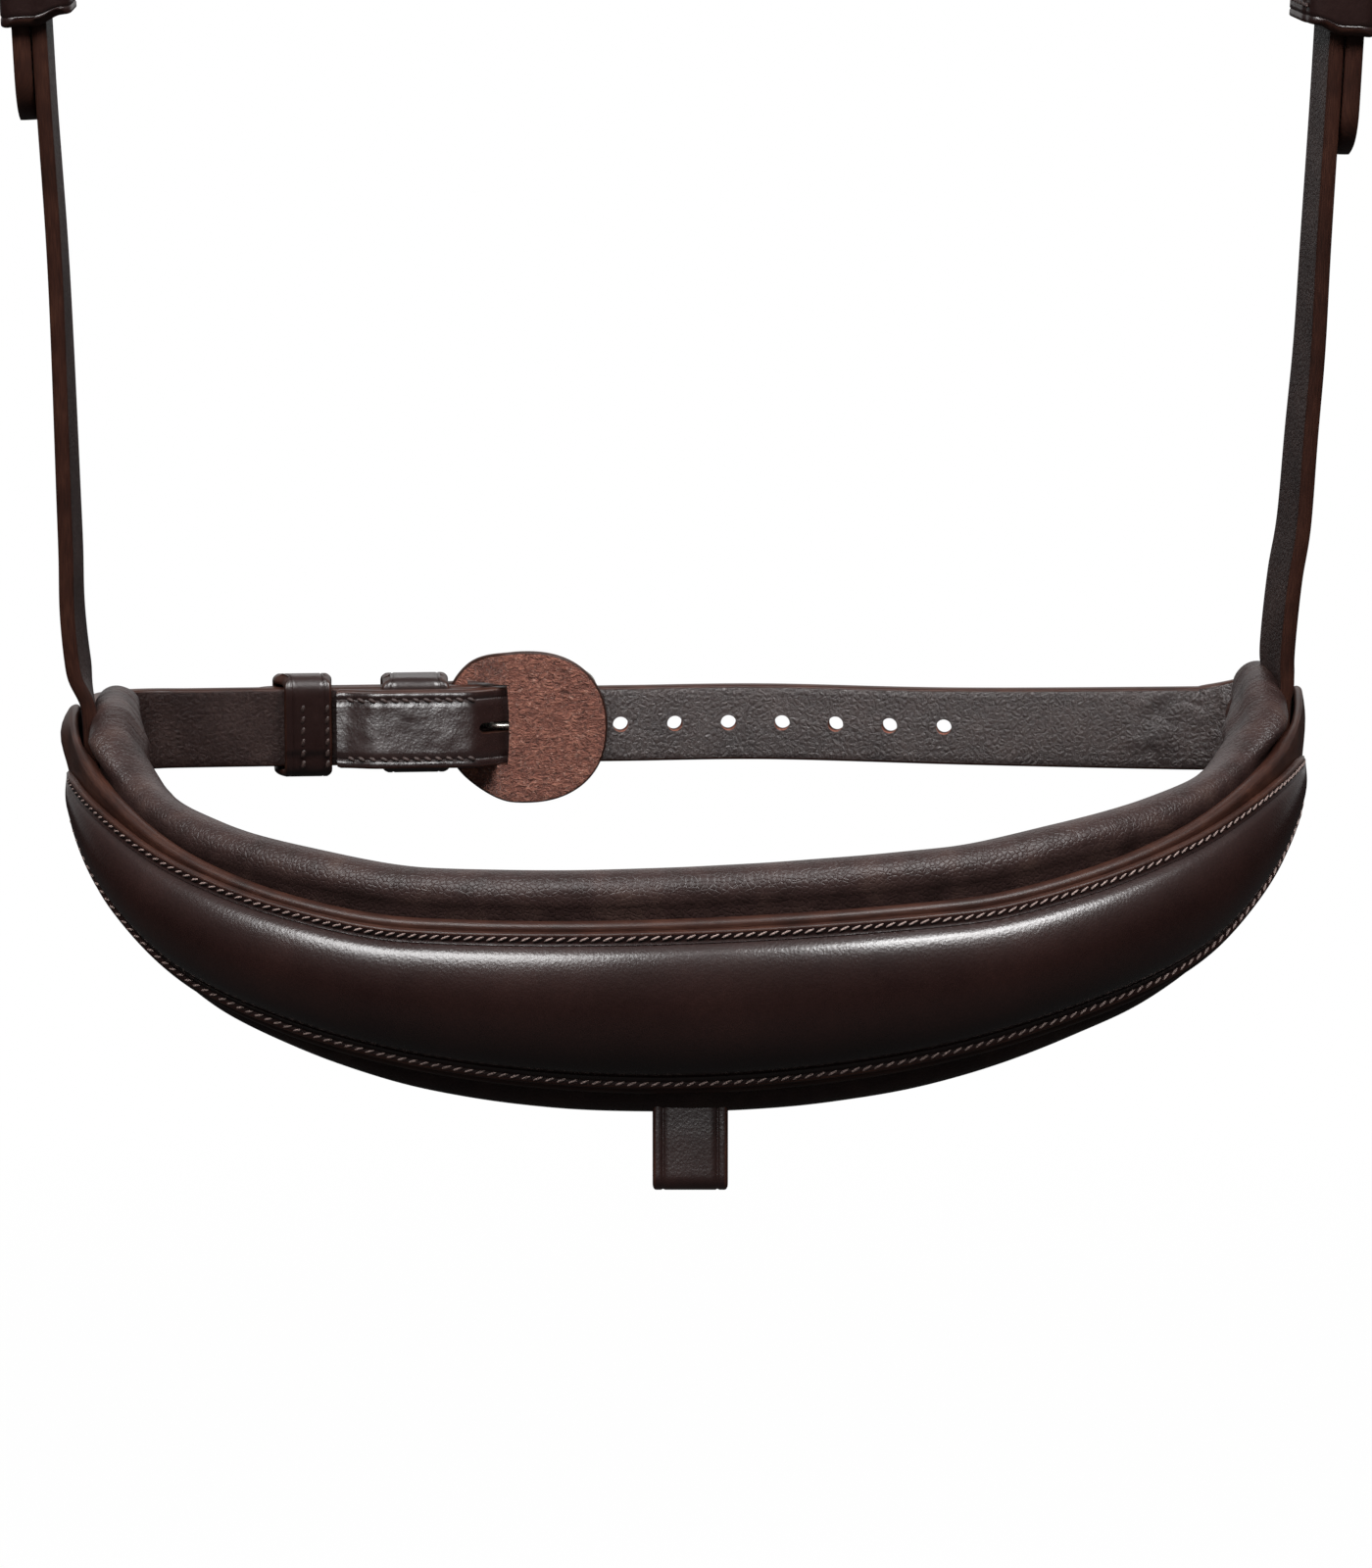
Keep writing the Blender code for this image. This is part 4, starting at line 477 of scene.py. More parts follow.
def slot_cutter(matrix, low, high, finish):
    """A long rounded slot through a strap, between two corners in a buckle's frame."""
    half = (high[2] - low[2]) / 2
    reach = max((high[0] - low[0]) / 2 - half, 0)
    ends = []
    for i in range(24):
        angle = 2 * math.pi * i / 24
        x = (high[0] + low[0]) / 2 + half * math.cos(angle) + math.copysign(reach, math.cos(angle))
        ends.append((x, (high[2] + low[2]) / 2 + half * math.sin(angle)))
    return prism(matrix, ends, low[1], high[1], finish)


def prism(matrix, outline, low, high, finish):
    """A closed prism: an outline in a frame's x and z, from low to high along its y."""
    mesh, shape = bpy.data.meshes.new("slot"), bmesh.new()
    near = [shape.verts.new(matrix @ Vector((x, low, z))) for x, z in outline]
    far = [shape.verts.new(matrix @ Vector((x, high, z))) for x, z in outline]
    for i in range(len(outline)):
        j = (i + 1) % len(outline)
        shape.faces.new((near[i], near[j], far[j], far[i]))
    shape.faces.new(near)
    shape.faces.new(far)
    bmesh.ops.recalc_face_normals(shape, faces=shape.faces)
    shape.to_mesh(mesh)
    shape.free()
    mesh.materials.append(finish)
    return mesh


def hole_cutters(places, radius, depth, finish):
    """One mesh with a round punch for each (centre, direction)."""
    mesh, shape = bpy.data.meshes.new("punches"), bmesh.new()
    for centre, direction in places:
        turn = direction.to_track_quat("Z", "Y").to_matrix().to_4x4()
        bmesh.ops.create_cone(shape, cap_ends=True, segments=28, radius1=radius, radius2=radius, depth=depth,
                              matrix=Matrix.Translation(centre) @ turn)
    shape.to_mesh(mesh)
    shape.free()
    mesh.materials.append(finish)
    return mesh


def distances(table):
    """How far along its line each row of a table lies. A row starts with its point."""
    return np.concatenate(([0], np.cumsum(np.linalg.norm(np.diff(table[:, :3], axis=0), axis=1))))


def refine(table, step=STEP, passes=2):
    """Rows of numbers that start with a point, evened out along the line and softened at its corners."""
    table = np.array(table, float)
    lengths = distances(table)
    count = max(int(lengths[-1] / step), 4)
    even = np.linspace(0, lengths[-1], count + 1)
    out = np.stack([np.interp(even, lengths, column) for column in table.T], axis=1)
    for _ in range(passes):
        out[1:-1] = (out[:-2] + 2 * out[1:-1] + out[2:]) / 4
    return out


def section(half, thick, grain_up, creased, rounding=EDGE_ROUND):
    """A strap's section as (across, through) points, and the finish of each strip: face, edge, flesh."""
    e = min(rounding, thick * 0.45, half * 0.5)
    low, high = -thick / 2, thick / 2
    if creased and half > 2.2 * CREASE_INSET:
        face = [(-half + CREASE_INSET + a * CREASE_HALF, -d * CREASE_DEPTH) for a, d in CREASE_STEPS]
        inner = half - CREASE_INSET - CREASE_HALF
    else:
        face = [(-half + e + (a + 1.4) * e * 0.15, 0) for a, _ in CREASE_STEPS]
        inner = half - e - 0.4 * e
    middle = [(inner * (2 * i / 9 - 1), 0) for i in range(1, 9)]
    face = face + middle + [(-a, d) for a, d in reversed(face)]
    top = [(-half + e, 0)] + face + [(half - e, 0)]
    arc = [(math.sin(math.pi * i / 8) * e, math.cos(math.pi * i / 8) * (thick / 2)) for i in range(1, 8)]
    points = [(a, high + d) for a, d in top]
    zones = [0] * (len(top) - 1) + [1] * 8
    points += [(half - e + a, b) for a, b in arc]
    back = [(half - e) * (1 - 2 * i / 11) for i in range(12)]
    points += [(a, low) for a in back]
    zones += [2] * 11 + [1] * 8
    points += [(-half + e - a, -b) for a, b in arc]
    if not grain_up:
        points = [(a, -b) for a, b in points]
    return points, zones


def strap_axes(table, i):
    """Directions at a row of a strap's table: along the strap, through it and across it."""
    ahead = Vector(table[min(i + 1, len(table) - 1), :3] - table[max(i - 1, 0), :3]).normalized()
    through = ahead.cross(Vector(table[i, 3:6]).normalized()).normalized()
    return ahead, through, through.cross(ahead).normalized()


def swept_strap(name, table, grain_up, creased=True, finishes=STRAP_FINISHES, step=STEP, passes=2):
    """A strap along a table of rows: point, direction across, half width, thickness."""
    table = refine(table, step, passes)
    rows = []
    for i, row in enumerate(table):
        _, through, side = strap_axes(table, i)
        points, zones = section(row[6], row[7], grain_up, creased)
        spot = Vector(row[:3])
        rows.append([spot + side * a + through * b for a, b in points])
    rows = round_ends(rows)
    return skin(name, rows, finishes, zones), table


def round_ends(rows):
    """Both end rings drawn in a little, so that a strap's cut ends are not knife sharp."""
    for end in (0, -1):
        centre = sum(rows[end], Vector()) / len(rows[end])
        rows[end] = [centre + (p - centre) * END_SHARE for p in rows[end]]
    return rows


def tube(name, points, radius, closed, sides, bend, step=0.0005, tip=False):
    """A drawn wire along points, with its corners bent round. With a tip, its far end is rounded."""
    path, count = [], len(points)
    for i, point in enumerate(points):
        if not closed and i in (0, count - 1):
            path.append(point)
            continue
        before, after = points[i - 1], points[(i + 1) % count]
        reach = min(bend, (before - point).length * 0.48, (after - point).length * 0.48)
        start = point + (before - point).normalized() * reach
        end = point + (after - point).normalized() * reach
        for k in range(7):
            t = k / 6
            path.append(start * (1 - t) ** 2 + point * 2 * t * (1 - t) + end * t * t)
    if closed:
        path.append(path[0])
    line = refine([tuple(p) for p in path], step, 1)[:, :3]
    if closed:
        line = line[:-1]
    rows, normal, total = [], None, len(line)
    for i in range(total):
        after, before = ((i + 1) % total, i - 1) if closed else (min(i + 1, total - 1), max(i - 1, 0))
        ahead = Vector(line[after] - line[before]).normalized()
        if normal is None:
            normal = ahead.orthogonal().normalized()
        normal = (normal - ahead * normal.dot(ahead)).normalized()
        side = ahead.cross(normal)
        r = radius
        if tip:
            left = (total - 1 - i) * step
            r = radius * math.sqrt(max(1 - max(1 - left / radius, 0) ** 2, 0.02))
        rows.append([Vector(line[i]) + (normal * math.cos(a) + side * math.sin(a)) * r
                     for a in (2 * math.pi * k / sides for k in range(sides))])
    return skin(name, rows, (NICKEL,), [0] * sides, joined=closed)


# Stitches

def stitch_tree():
    """Geometry Nodes: one laid stitch on each point, turned by the point's along and up directions."""
    tree = bpy.data.node_groups.new("laid_stitches", "GeometryNodeTree")
    tree.interface.new_socket("Points", in_out="INPUT", socket_type="NodeSocketGeometry")
    for name in ("Length", "Width", "Height"):
        tree.interface.new_socket(name, in_out="INPUT", socket_type="NodeSocketFloat")
    tree.interface.new_socket("Thread", in_out="INPUT", socket_type="NodeSocketMaterial")
    tree.interface.new_socket("Stitches", in_out="OUTPUT", socket_type="NodeSocketGeometry")
    given = add(tree, "NodeGroupInput").outputs
    ball = add(tree, "GeometryNodeMeshUVSphere", {"Segments": 8, "Rings": 7, "Radius": 0.5})
    size = add(tree, "CombineXYZ", {"X": given["Length"], "Y": given["Width"], "Z": given["Height"]})
    along = add(tree, "GeometryNodeInputNamedAttribute", {"Name": "along"}, data_type="FLOAT_VECTOR")
    up = add(tree, "GeometryNodeInputNamedAttribute", {"Name": "up"}, data_type="FLOAT_VECTOR")
    turn = add(tree, "FunctionNodeAlignRotationToVector", {"Vector": along}, axis="X")
    level = add(tree, "FunctionNodeAlignRotationToVector", {"Rotation": turn, "Vector": up},
                axis="Z", pivot_axis="X")
    laid = add(tree, "GeometryNodeInstanceOnPoints", {
        "Points": given["Points"], "Instance": ball, "Rotation": level, "Scale": size})
    real = add(tree, "GeometryNodeRealizeInstances", {"Geometry": laid})
    smooth = add(tree, "GeometryNodeSetShadeSmooth", {"Geometry": real})
    dressed = add(tree, "GeometryNodeSetMaterial", {"Geometry": smooth, "Material": given["Thread"]})
    add(tree, "NodeGroupOutput", {"Stitches": dressed})
    return tree


STITCHES = stitch_tree()


def sew(name, body, stitches, thread, sizes):
    """Makes a row's stitches. Each is (place, along, up)."""
    mesh = bpy.data.meshes.new(name)
    mesh.from_pydata([tuple(place) for place, _, _ in stitches], [], [])
    for label, index in (("along", 1), ("up", 2)):
        values = np.array([tuple(stitch[index].normalized()) for stitch in stitches]).reshape(-1)
        mesh.attributes.new(label, "FLOAT_VECTOR", "POINT").data.foreach_set("vector", values)
    row = show(name, mesh)
    modifier = row.modifiers.new("stitches", "NODES")
    modifier.node_group = STITCHES
    given = dict(zip(("Length", "Width", "Height", "Thread"), (*sizes, thread)))
    for socket in STITCHES.interface.items_tree:
        if socket.name in given:
            modifier[socket.identifier] = given[socket.name]
    result = applied(row)
    result.name = name
    place_piece(name, result, body, "bridle_leather")


def strap_stitches(table, start, end, across, sink):
    """Slanted stitches on the face that a strap's through direction points away from."""
    out, lengths, place = [], distances(table), start
    while place < end:
        i = max(min(int(np.searchsorted(lengths, place)), len(table) - 2), 1)
        ahead, through, side = strap_axes(table, i)
        spot = Vector(table[i, :3]) + ahead * (place - lengths[i])
        spot += side * across - through * (table[i, 7] / 2 - sink)
        out.append((spot, ahead + side * TURNED_SLANT, -through))
        place += STITCH_PITCH
    return out


# Noseband

def plan_table():
    """The noseband's half ellipse from above, as rows of distance along it and angle."""
    rows = [(0.0, 0.0)]
    last = Vector((0, -NOSE_DEPTH))
    for i in range(1, 801):
        angle = math.pi / 2 * i / 800
        point = Vector((NOSE_HALF_WIDTH * math.sin(angle), -NOSE_DEPTH * math.cos(angle)))
        rows.append((rows[-1][0] + (point - last).length, angle))
        last = point
    return np.array(rows)


PLAN = plan_table()
HALF_ARC = float(PLAN[-1, 0])


def end_of(arc):
    """Which end of the noseband a place lies towards, -1 or 1, and how far along that half, as a share."""
    return -1 if arc < 0 else 1, abs(arc) / HALF_ARC


def plan_point(arc):
    """Point and outward direction at a signed distance along the noseband from its front."""
    side, reach = end_of(arc)[0], abs(arc)
    if reach >= HALF_ARC:
        return Vector((side * NOSE_HALF_WIDTH, reach - HALF_ARC)), Vector((side, 0))
    angle = float(np.interp(reach, PLAN[:, 0], PLAN[:, 1]))
    point = Vector((side * NOSE_HALF_WIDTH * math.sin(angle), -NOSE_DEPTH * math.cos(angle)))
    out = Vector((side * math.sin(angle) / NOSE_HALF_WIDTH, -math.cos(angle) / NOSE_DEPTH))
    return point, out.normalized()


def band_point(arc, height, offset):
    """A point of the noseband: along it, up it, and outwards from the base strap's outer face."""
    flat, out = plan_point(arc)
    place = flat + out * offset
    side, share = end_of(arc)
    up = (height - LINING_BOTTOM) / (LINING_TOP - LINING_BOTTOM)
    wave = math.sin(math.pi * min(share / WAVE_LENGTH_SHARE, 1)) * min(max(up, 0), 1)
    return Vector((place.x, place.y, height + place.x * math.tan(ROLL) + side * WAVE * wave - DROP))


def edge_height(front, climb, shares, arc):
    """An edge's height at a place along the noseband."""
    return front + climb * look_up(shares, end_of(arc)[1])


def lower_edge(front, shares, arc):
    """A lower edge's height. Either end of the real noseband is worn to a shape of its own."""
    side, share = end_of(arc)
    return edge_height(front, BOTTOM_CLIMB, shares, arc) + look_up(LOWER_EDGE_SHIFTS[side], share)


def ear_bow(arc, up):
    """How far an ear bulges outwards at a share of its height: its top bends back to the hanging strap."""
    side, share = end_of(arc)
    height = min(max((up - EAR_FLARE_FOOT) / EAR_FLARE_RISE, 0), 1)
    return EAR_FLARE[side] * eased(share, EAR_RUN) * math.sin(math.pi * height ** 1.3)


def seat_share(arc):
    """0 along the noseband and 1 at its ends, where the hanging straps lie between its layers."""
    return eased(end_of(arc)[1], SEAT_RUN)


def tip_factor(arc, reach, length):
    """How much of its width a band keeps towards its rounded end."""
    t = (abs(arc) - (reach - length)) / length
    return math.sqrt(max(1 - t * t, 0)) if t > 0 else 1.0


def squeeze(low, high, factor, least):
    """A band's two edges, drawn towards their middle."""
    middle = (low + high) / 2
    factor = max(factor, least)
    return middle + (low - middle) * factor, middle + (high - middle) * factor


def band_arcs(reach, step):
    """Places along the band, finer in the last few millimetres at both ends."""
    inner = reach - 1.2 * BAND_TIP_STEPS[-1]
    count = int(2 * inner / step)
    middle = [-inner + 2 * inner * i / count for i in range(count + 1)]
    ends = [reach] + [reach - t for t in BAND_TIP_STEPS]
    return [-arc for arc in ends] + middle + ends[::-1]


def base_section(arc, top, bottom, thick):
    """Section of the base strap, with rounded edges, as a row of points and their finishes."""
    r = min(BASE_ROUND, thick * 0.42)
    points = []
    for i in range(9):
        angle = math.pi * i / 8
        points.append((top - r + r * math.sin(angle), -thick / 2 + thick / 2 * -math.cos(angle)))
    points += [(lerp(top - r, bottom + r, i / 12), 0.0) for i in range(1, 12)]
    for i in range(9):
        angle = math.pi * i / 8
        points.append((bottom + r - r * math.sin(angle), -thick / 2 + thick / 2 * math.cos(angle)))
    points += [(lerp(bottom + r, top - r, i / 8), -thick) for i in range(1, 8)]
    zones = [1] * 8 + [0] * 12 + [1] * 8 + [2] * 8
    row = []
    for height, offset in points:
        bow = ear_bow(arc, (height - bottom) / (top - bottom)) * (1 + offset / thick)
        row.append(band_point(arc, height, bow + offset))
    return row, zones


def base_strap():
    """The stiff strap that the noseband is built on. Its upper edge shows as a ledge."""
    reach = HALF_ARC + EAR_LENGTH
    rows = []
    for arc in band_arcs(reach, BAND_STEP):
        top = edge_height(BASE_TOP, TOP_CLIMB, BASE_TOP_SHARES, arc)
        bottom = lower_edge(BASE_BOTTOM, BASE_BOTTOM_SHARES, arc)
        bottom, top = squeeze(bottom, top, tip_factor(arc, reach, EAR_LENGTH), 0.10)
        thick = lerp(BASE_THICKNESS, BASE_END_THICKNESS, seat_share(arc))
        row, zones = base_section(arc, top, bottom, thick)
        rows.append(row)
    mesh = skin("noseband_base", rows, (EDGE, EDGE, FLESH), zones)
    place_piece("noseband_base", mesh, "bridle", "bridle_leather", "noseband_base_strap")


COVER_REACH = HALF_ARC * COVER_END_SHARE


def cover_edges(arc):
    """The raised leather's lower and upper edges."""
    top = edge_height(COVER_TOP, TOP_CLIMB, COVER_TOP_SHARES, arc)
    bottom = lower_edge(COVER_BOTTOM, COVER_BOTTOM_SHARES, arc)
    return squeeze(bottom, top, tip_factor(arc, COVER_REACH, COVER_TIP), 0.2)


def cover_thickness(arc):
    """The raised leather is skived thin at both ends."""
    return COVER_THICKNESS * lerp(0.3, 1, ease((COVER_REACH - abs(arc)) / 0.010))


def cover_profile(arc):
    """Outer face of the raised leather from its upper to its lower edge, as (height, rise)."""
    bottom, top = cover_edges(arc)
    margin = min(MARGIN, (top - bottom) / 4)
    dome = DOME_HEIGHT * look_up(DOME_SHARES, end_of(arc)[1])
    thin = cover_thickness(arc) / COVER_THICKNESS
    r = COVER_ROUND * thin
    turns = [math.pi / 2 * i / 3 for i in range(4)]
    points = [(top - r + r * math.sin(math.pi / 2 - a), -r + r * math.sin(a)) for a in turns]
    points[0] = (top, -r)
    points += [(top - margin * inset, -depth * thin) for inset, depth in SEAM_GROOVE]
    for i in range(1, 28):
        across = i / 28
        height = lerp(top - margin, bottom + margin, across)
        points.append((height, dome * (4 * across * (1 - across)) ** DOME_FULLNESS))
    points += [(bottom + margin * inset, -depth * thin) for inset, depth in reversed(SEAM_GROOVE)]
    return points + [(bottom + r - r * math.sin(a), -r + r * math.cos(a)) for a in turns]


def raised_leather():
    """The domed leather on the noseband's face, and the two rows that sew it down."""
    rows = []
    for arc in band_arcs(COVER_REACH, BAND_STEP):
        thick, outer = cover_thickness(arc), cover_profile(arc)
        bottom, top = cover_edges(arc)
        row = [band_point(arc, height, GAP + thick + rise) for height, rise in outer]
        row += [band_point(arc, lerp(bottom, top, i / 6), GAP) for i in range(7)]
        rows.append(row)
    zones = [1] * 3 + [0] * (len(outer) - 7) + [1] * 4 + [2] * 6 + [1]
    mesh = skin("raised_noseband_leather", rows, STRAP_FINISHES, zones)
    place_piece("raised_noseband_leather", mesh, "bridle", "bridle_leather",
                "noseband_raised_leather", "noseband_filler")
    for name, edge in (("noseband_top_stitches", 1), ("noseband_bottom_stitches", -1)):
        inset = BAND_SEAM_INSETS[edge]
        row = []
        arc = -COVER_REACH + BAND_SEAM_END
        while arc < COVER_REACH - BAND_SEAM_END:
            lift = GAP + cover_thickness(arc) - BAND_SEAM_SINK
            spot, ahead = [band_point(at, cover_edges(at)[edge > 0] - inset, lift)
                           for at in (arc, arc + BAND_SEAM_LEAD)]
            along = ahead - spot
            _, out = plan_point(arc)
            up = Vector((out.x, out.y, 0))
            side = up.cross(along).normalized()
            row.append((spot, along.normalized() + side * BAND_SLANT, up))
            arc += STITCH_PITCH
        sew(name, "bridle", row, THREAD, BAND_STITCH)


def lining_seat(arc):
    """Level of the lining's flat side: behind the base strap, and at the ends behind the hanging straps."""
    return lerp(-BASE_THICKNESS - GAP, -BASE_END_THICKNESS - HANGER_THICKNESS - 3 * GAP, seat_share(arc))


def pad_outline(top, bottom, top_radius, bottom_radius, puff):
    """A pad's section from its flat side round its soft side, as (depth, height)."""
    low, high = bottom + bottom_radius, top - top_radius
    out = []
    for i in range(23):
        angle = math.pi * (1.12 - 1.12 * i / 22)
        out.append((top_radius + top_radius * math.cos(angle), high + top_radius * math.sin(angle)))
    for i in range(1, 16):
        t = i / 16
        depth = lerp(2 * top_radius, 2 * bottom_radius, ease(t)) + puff * math.sin(math.pi * t)
        out.append((depth, lerp(high, low, t)))
    for i in range(13):
        angle = -math.pi * i / 12
        out.append((bottom_radius + bottom_radius * math.cos(angle), low + bottom_radius * math.sin(angle)))
    for i in range(1, 6):
        out.append((0.0, lerp(low, high - top_radius * 0.4, i / 6)))
    return out


def lining_point(arc, height, offset):
    """A point of the lining. Past the noseband's end it turns inwards along the jaw strap's face."""
    side, over = end_of(arc)[0], abs(arc) - HALF_ARC - JAW_STRAIGHT
    if over <= 0:
        return band_point(arc, height, offset)
    middle = NOSE_HALF_WIDTH - BASE_END_THICKNESS - GAP - HANGER_THICKNESS / 2 - JAW_CORNER
    radius = NOSE_HALF_WIDTH + offset - middle
    mean = JAW_CORNER - HANGER_THICKNESS / 2 - GAP
    angle = min(over / mean, math.pi / 2)
    rest = over - mean * angle
    x = middle + radius * math.cos(angle) - rest
    return Vector((side * x, JAW_STRAIGHT + radius * math.sin(angle) + rest * 0.055,
                   height + side * x * math.tan(ROLL) - DROP))


def padded_lining():
    """The pad under the noseband: soft leather over foam, with a fat roll above the base strap. Its ends
    thin out along the jaw strap, where the soft leather is gathered in folds."""
    rows, folded = [], []
    end = HALF_ARC + LINING_WRAP
    inner = band_arcs(HALF_ARC, LINING_STEP)[8:-8]
    left = [-end + (end + inner[0]) * i / 48 for i in range(48)]
    right = [end - (end - inner[-1]) * i / 64 for i in range(64)][::-1]
    jaw_top, jaw_bottom = JAW_BAR.z + JAW_WIDTH / 2 - JAW_PAD_INSET, JAW_BAR.z - JAW_WIDTH / 4
    for arc in left + inner + right:
        side, share = end_of(arc)
        top = edge_height(LINING_TOP, TOP_CLIMB, LINING_TOP_SHARES, arc)
        bottom = lower_edge(LINING_BOTTOM, LINING_BOTTOM_SHARES, arc)
        wrap = min(max(abs(arc) - HALF_ARC, 0) / LINING_WRAP, 1)
        top -= ROLL_END_DROP[side] * eased(share, ROLL_END_RUN)
        top = lerp(top, jaw_top, ease(wrap / 0.6))
        bottom = lerp(bottom, jaw_bottom, ease(wrap))
        shrink = lerp(LINING_WRAP_TIP, 1, (1 - ease(wrap)) ** 1.5)
        shrink *= lerp(0.3, 1, min((1 - wrap) / 0.06, 1) ** 0.5)
        roll = ROLL_RADIUS * look_up(ROLL_SHARES, share) * shrink
        foot = FOOT_RADIUS * look_up(FOOT_SHARES, share) * shrink
        seat = lining_seat(arc) + JAW_PAD_LIFT * eased(wrap, JAW_PAD_RUN)
        base_top = edge_height(BASE_TOP, TOP_CLIMB, BASE_TOP_SHARES, arc)
        lean = ROLL_LEAN[side] * look_up(ROLL_LEAN_SHARES, share)
        row = []
        worn = eased(share, WORN_RUN)
        crumple = CRUMPLE * ease(wrap / 0.3) * (1 - 0.5 * wrap)
        for depth, height in pad_outline(top, bottom, roll, foot, PAD_PUFF):
            out = seat - depth + lean * ease((height - base_top + LEAN_BELOW) / LEAN_HEIGHT)
            if depth > FLAT_SIDE:
                out -= noise.noise(Vector((arc * 420, height * 60, 0.3))) * PUCKER[0] * worn
                out -= noise.noise(Vector((arc * 70, height * 90, 5.1))) * PUCKER[1]
                fold = noise.noise(Vector((arc * 260 + height * 170, height * 60 - arc * 80, 2.7 * side)))
                out -= crumple * abs(fold) * 2
            row.append(lining_point(arc, height, out))
        rows.append(row)
        folded.append(max(worn, 1.5 * ease(wrap / 0.2)))
    mesh = skin("padded_noseband_lining", rows, (PADDING,), [0] * len(row), folded=folded)
    piece = place_piece("padded_noseband_lining", mesh, "bridle", "soft_lining",
                        "noseband_lining", "noseband_foam")


# Jaw strap

def fold_radius():
    """Radius of a turned end's middle round its buckle's bar."""
    return BAR_RADIUS + GAP + FOLD_THICKNESS / 2


def fold_points(drop, thickness, tail, fixed, back_run=FOLD_RUN):
    """A strap's end round a buckle's bar. The fixed keeper's inner side lies between the two plies."""
    radius = fold_radius()
    outer = drop + GAP / 2 + thickness / 2
    inner = drop - GAP / 2 - FIXED_KEEPER_WALL - GAP - FOLD_THICKNESS / 2
    closed = drop - GAP / 2 - FOLD_THICKNESS / 2
    behind = fixed[1] / 2 - fixed[0] + GAP
    points = [(-FOLD_RUN * (1 - i / 8), lerp(outer, radius, ease(i / 8))) for i in range(8)]
    for i in range(25):
        angle = math.pi / 2 - math.pi * i / 24
        points.append((radius * math.cos(angle), radius * math.sin(angle)))
    points += [(-FOLD_RUN * i / 8, lerp(-radius, inner, ease(i / 8))) for i in range(1, 9)]
    points += [(-behind - back_run * i / 8, lerp(inner, closed, ease(i / 8))) for i in range(9)]
    return points + [(-tail, closed)]


def billet_under(thickness):
    """Level of a billet's middle where it passes under its frame's far side."""
    return FRAME_LIFT - BAR_RADIUS - GAP - thickness / 2


def over_bar_points(low, thickness, rise_from, rise_to, tip):
    """A billet through a buckle, as (along, out): over the fold, then under the frame's far side."""
    over = fold_radius() + FOLD_THICKNESS / 2 + GAP + thickness / 2
    under = billet_under(thickness)
    points = [(tip, low), (lerp(tip, rise_from, 0.5), low)]
    points += [(lerp(rise_from, rise_to, i / 10), lerp(low, over, ease(i / 10))) for i in range(10)]
    points.append((rise_to, over))
    bend = math.radians(50)
    for i in range(8):
        angle = math.pi / 2 - bend * i / 7
        points.append((over * math.cos(angle), over * math.sin(angle)))
    start, end, handle = Vector(points[-1]), Vector((BILLET_SETTLE, under)), BILLET_SETTLE / 3
    leave = start + Vector((math.sin(math.pi / 2 - bend), -math.cos(math.pi / 2 - bend))) * handle
    arrive = end - Vector((handle, 0))
    for i in range(1, 11):
        t = i / 10
        spot = (1 - t)**3 * start + 3 * t * (1 - t)**2 * leave + 3 * t**2 * (1 - t) * arrive + t**3 * end
        points.append((spot.x, spot.y))
    return points + [(FRAME_LENGTH, under)]


def frame_matrix(origin, along, out):
    """A local frame: x along the strap, y outwards, z across."""
    along = along.normalized()
    across = along.cross(out).normalized()
    out = across.cross(along)
    return Matrix((
        (along.x, out.x, across.x, origin.x), (along.y, out.y, across.y, origin.y),
        (along.z, out.z, across.z, origin.z), (0, 0, 0, 1)))


def in_frame(matrix, points):
    """Points of a buckle's own plane, given along its strap and outwards, in the scene."""
    return [matrix @ Vector((s, q, 0)) for s, q in points]


JAW = frame_matrix(JAW_BAR - Vector((0, 0, DROP)), Vector((math.cos(JAW_HEADING), math.sin(JAW_HEADING), 0)),
                   Vector((-math.sin(JAW_HEADING), math.cos(JAW_HEADING), 0)))
ROOT_OFFSET = -BASE_END_THICKNESS - GAP - HANGER_THICKNESS / 2
JAW_PLY = JAW_PLY_DROP + GAP / 2 + JAW_THICKNESS / 2
JAW_BILLET = JAW_PLY_DROP + GAP / 2 + JAW_THICKNESS + GAP + JAW_BILLET_THICKNESS / 2
UP, BACK = Vector((0, 0, 1)), Vector((0, 1, 0))


def jaw_root(side):
    """Where a half of the jaw strap leaves the noseband and bends inwards."""
    edge = side * (NOSE_HALF_WIDTH + ROOT_OFFSET)
    points = [Vector((edge, JAW_ROOT_START, 0)), Vector((edge, JAW_STRAIGHT / 2, 0))]
    for i in range(7):
        angle = math.pi / 2 * i / 6
        points.append(Vector((edge - side * JAW_CORNER * (1 - math.cos(angle)),
                              JAW_STRAIGHT + JAW_CORNER * math.sin(angle), 0)))
    return points


def smooth_line(points, steps):
    """A smooth curve through points, with some steps to each span."""
    out = []
    for i in range(len(points) - 1):
        a, b, c = points[max(i - 1, 0)], points[i], points[i + 1]
        d = points[min(i + 2, len(points) - 1)]
        for k in range(steps):
            t = k / steps
            out.append(0.5 * (2 * b + (c - a) * t + (2 * a - 5 * b + 4 * c - d) * t**2
                              + (3 * b - a - 3 * c + d) * t**3))
    return out + [points[-1]]


def rows_of(points, across, half_widths, thicknesses):
    """A strap's table. across is one direction, or one for each point."""
    rows = []
    for i, point in enumerate(points):
        side = across[i] if isinstance(across, list) else across
        rows.append((*point, *side, half_widths[i], thicknesses[i]))
    return rows


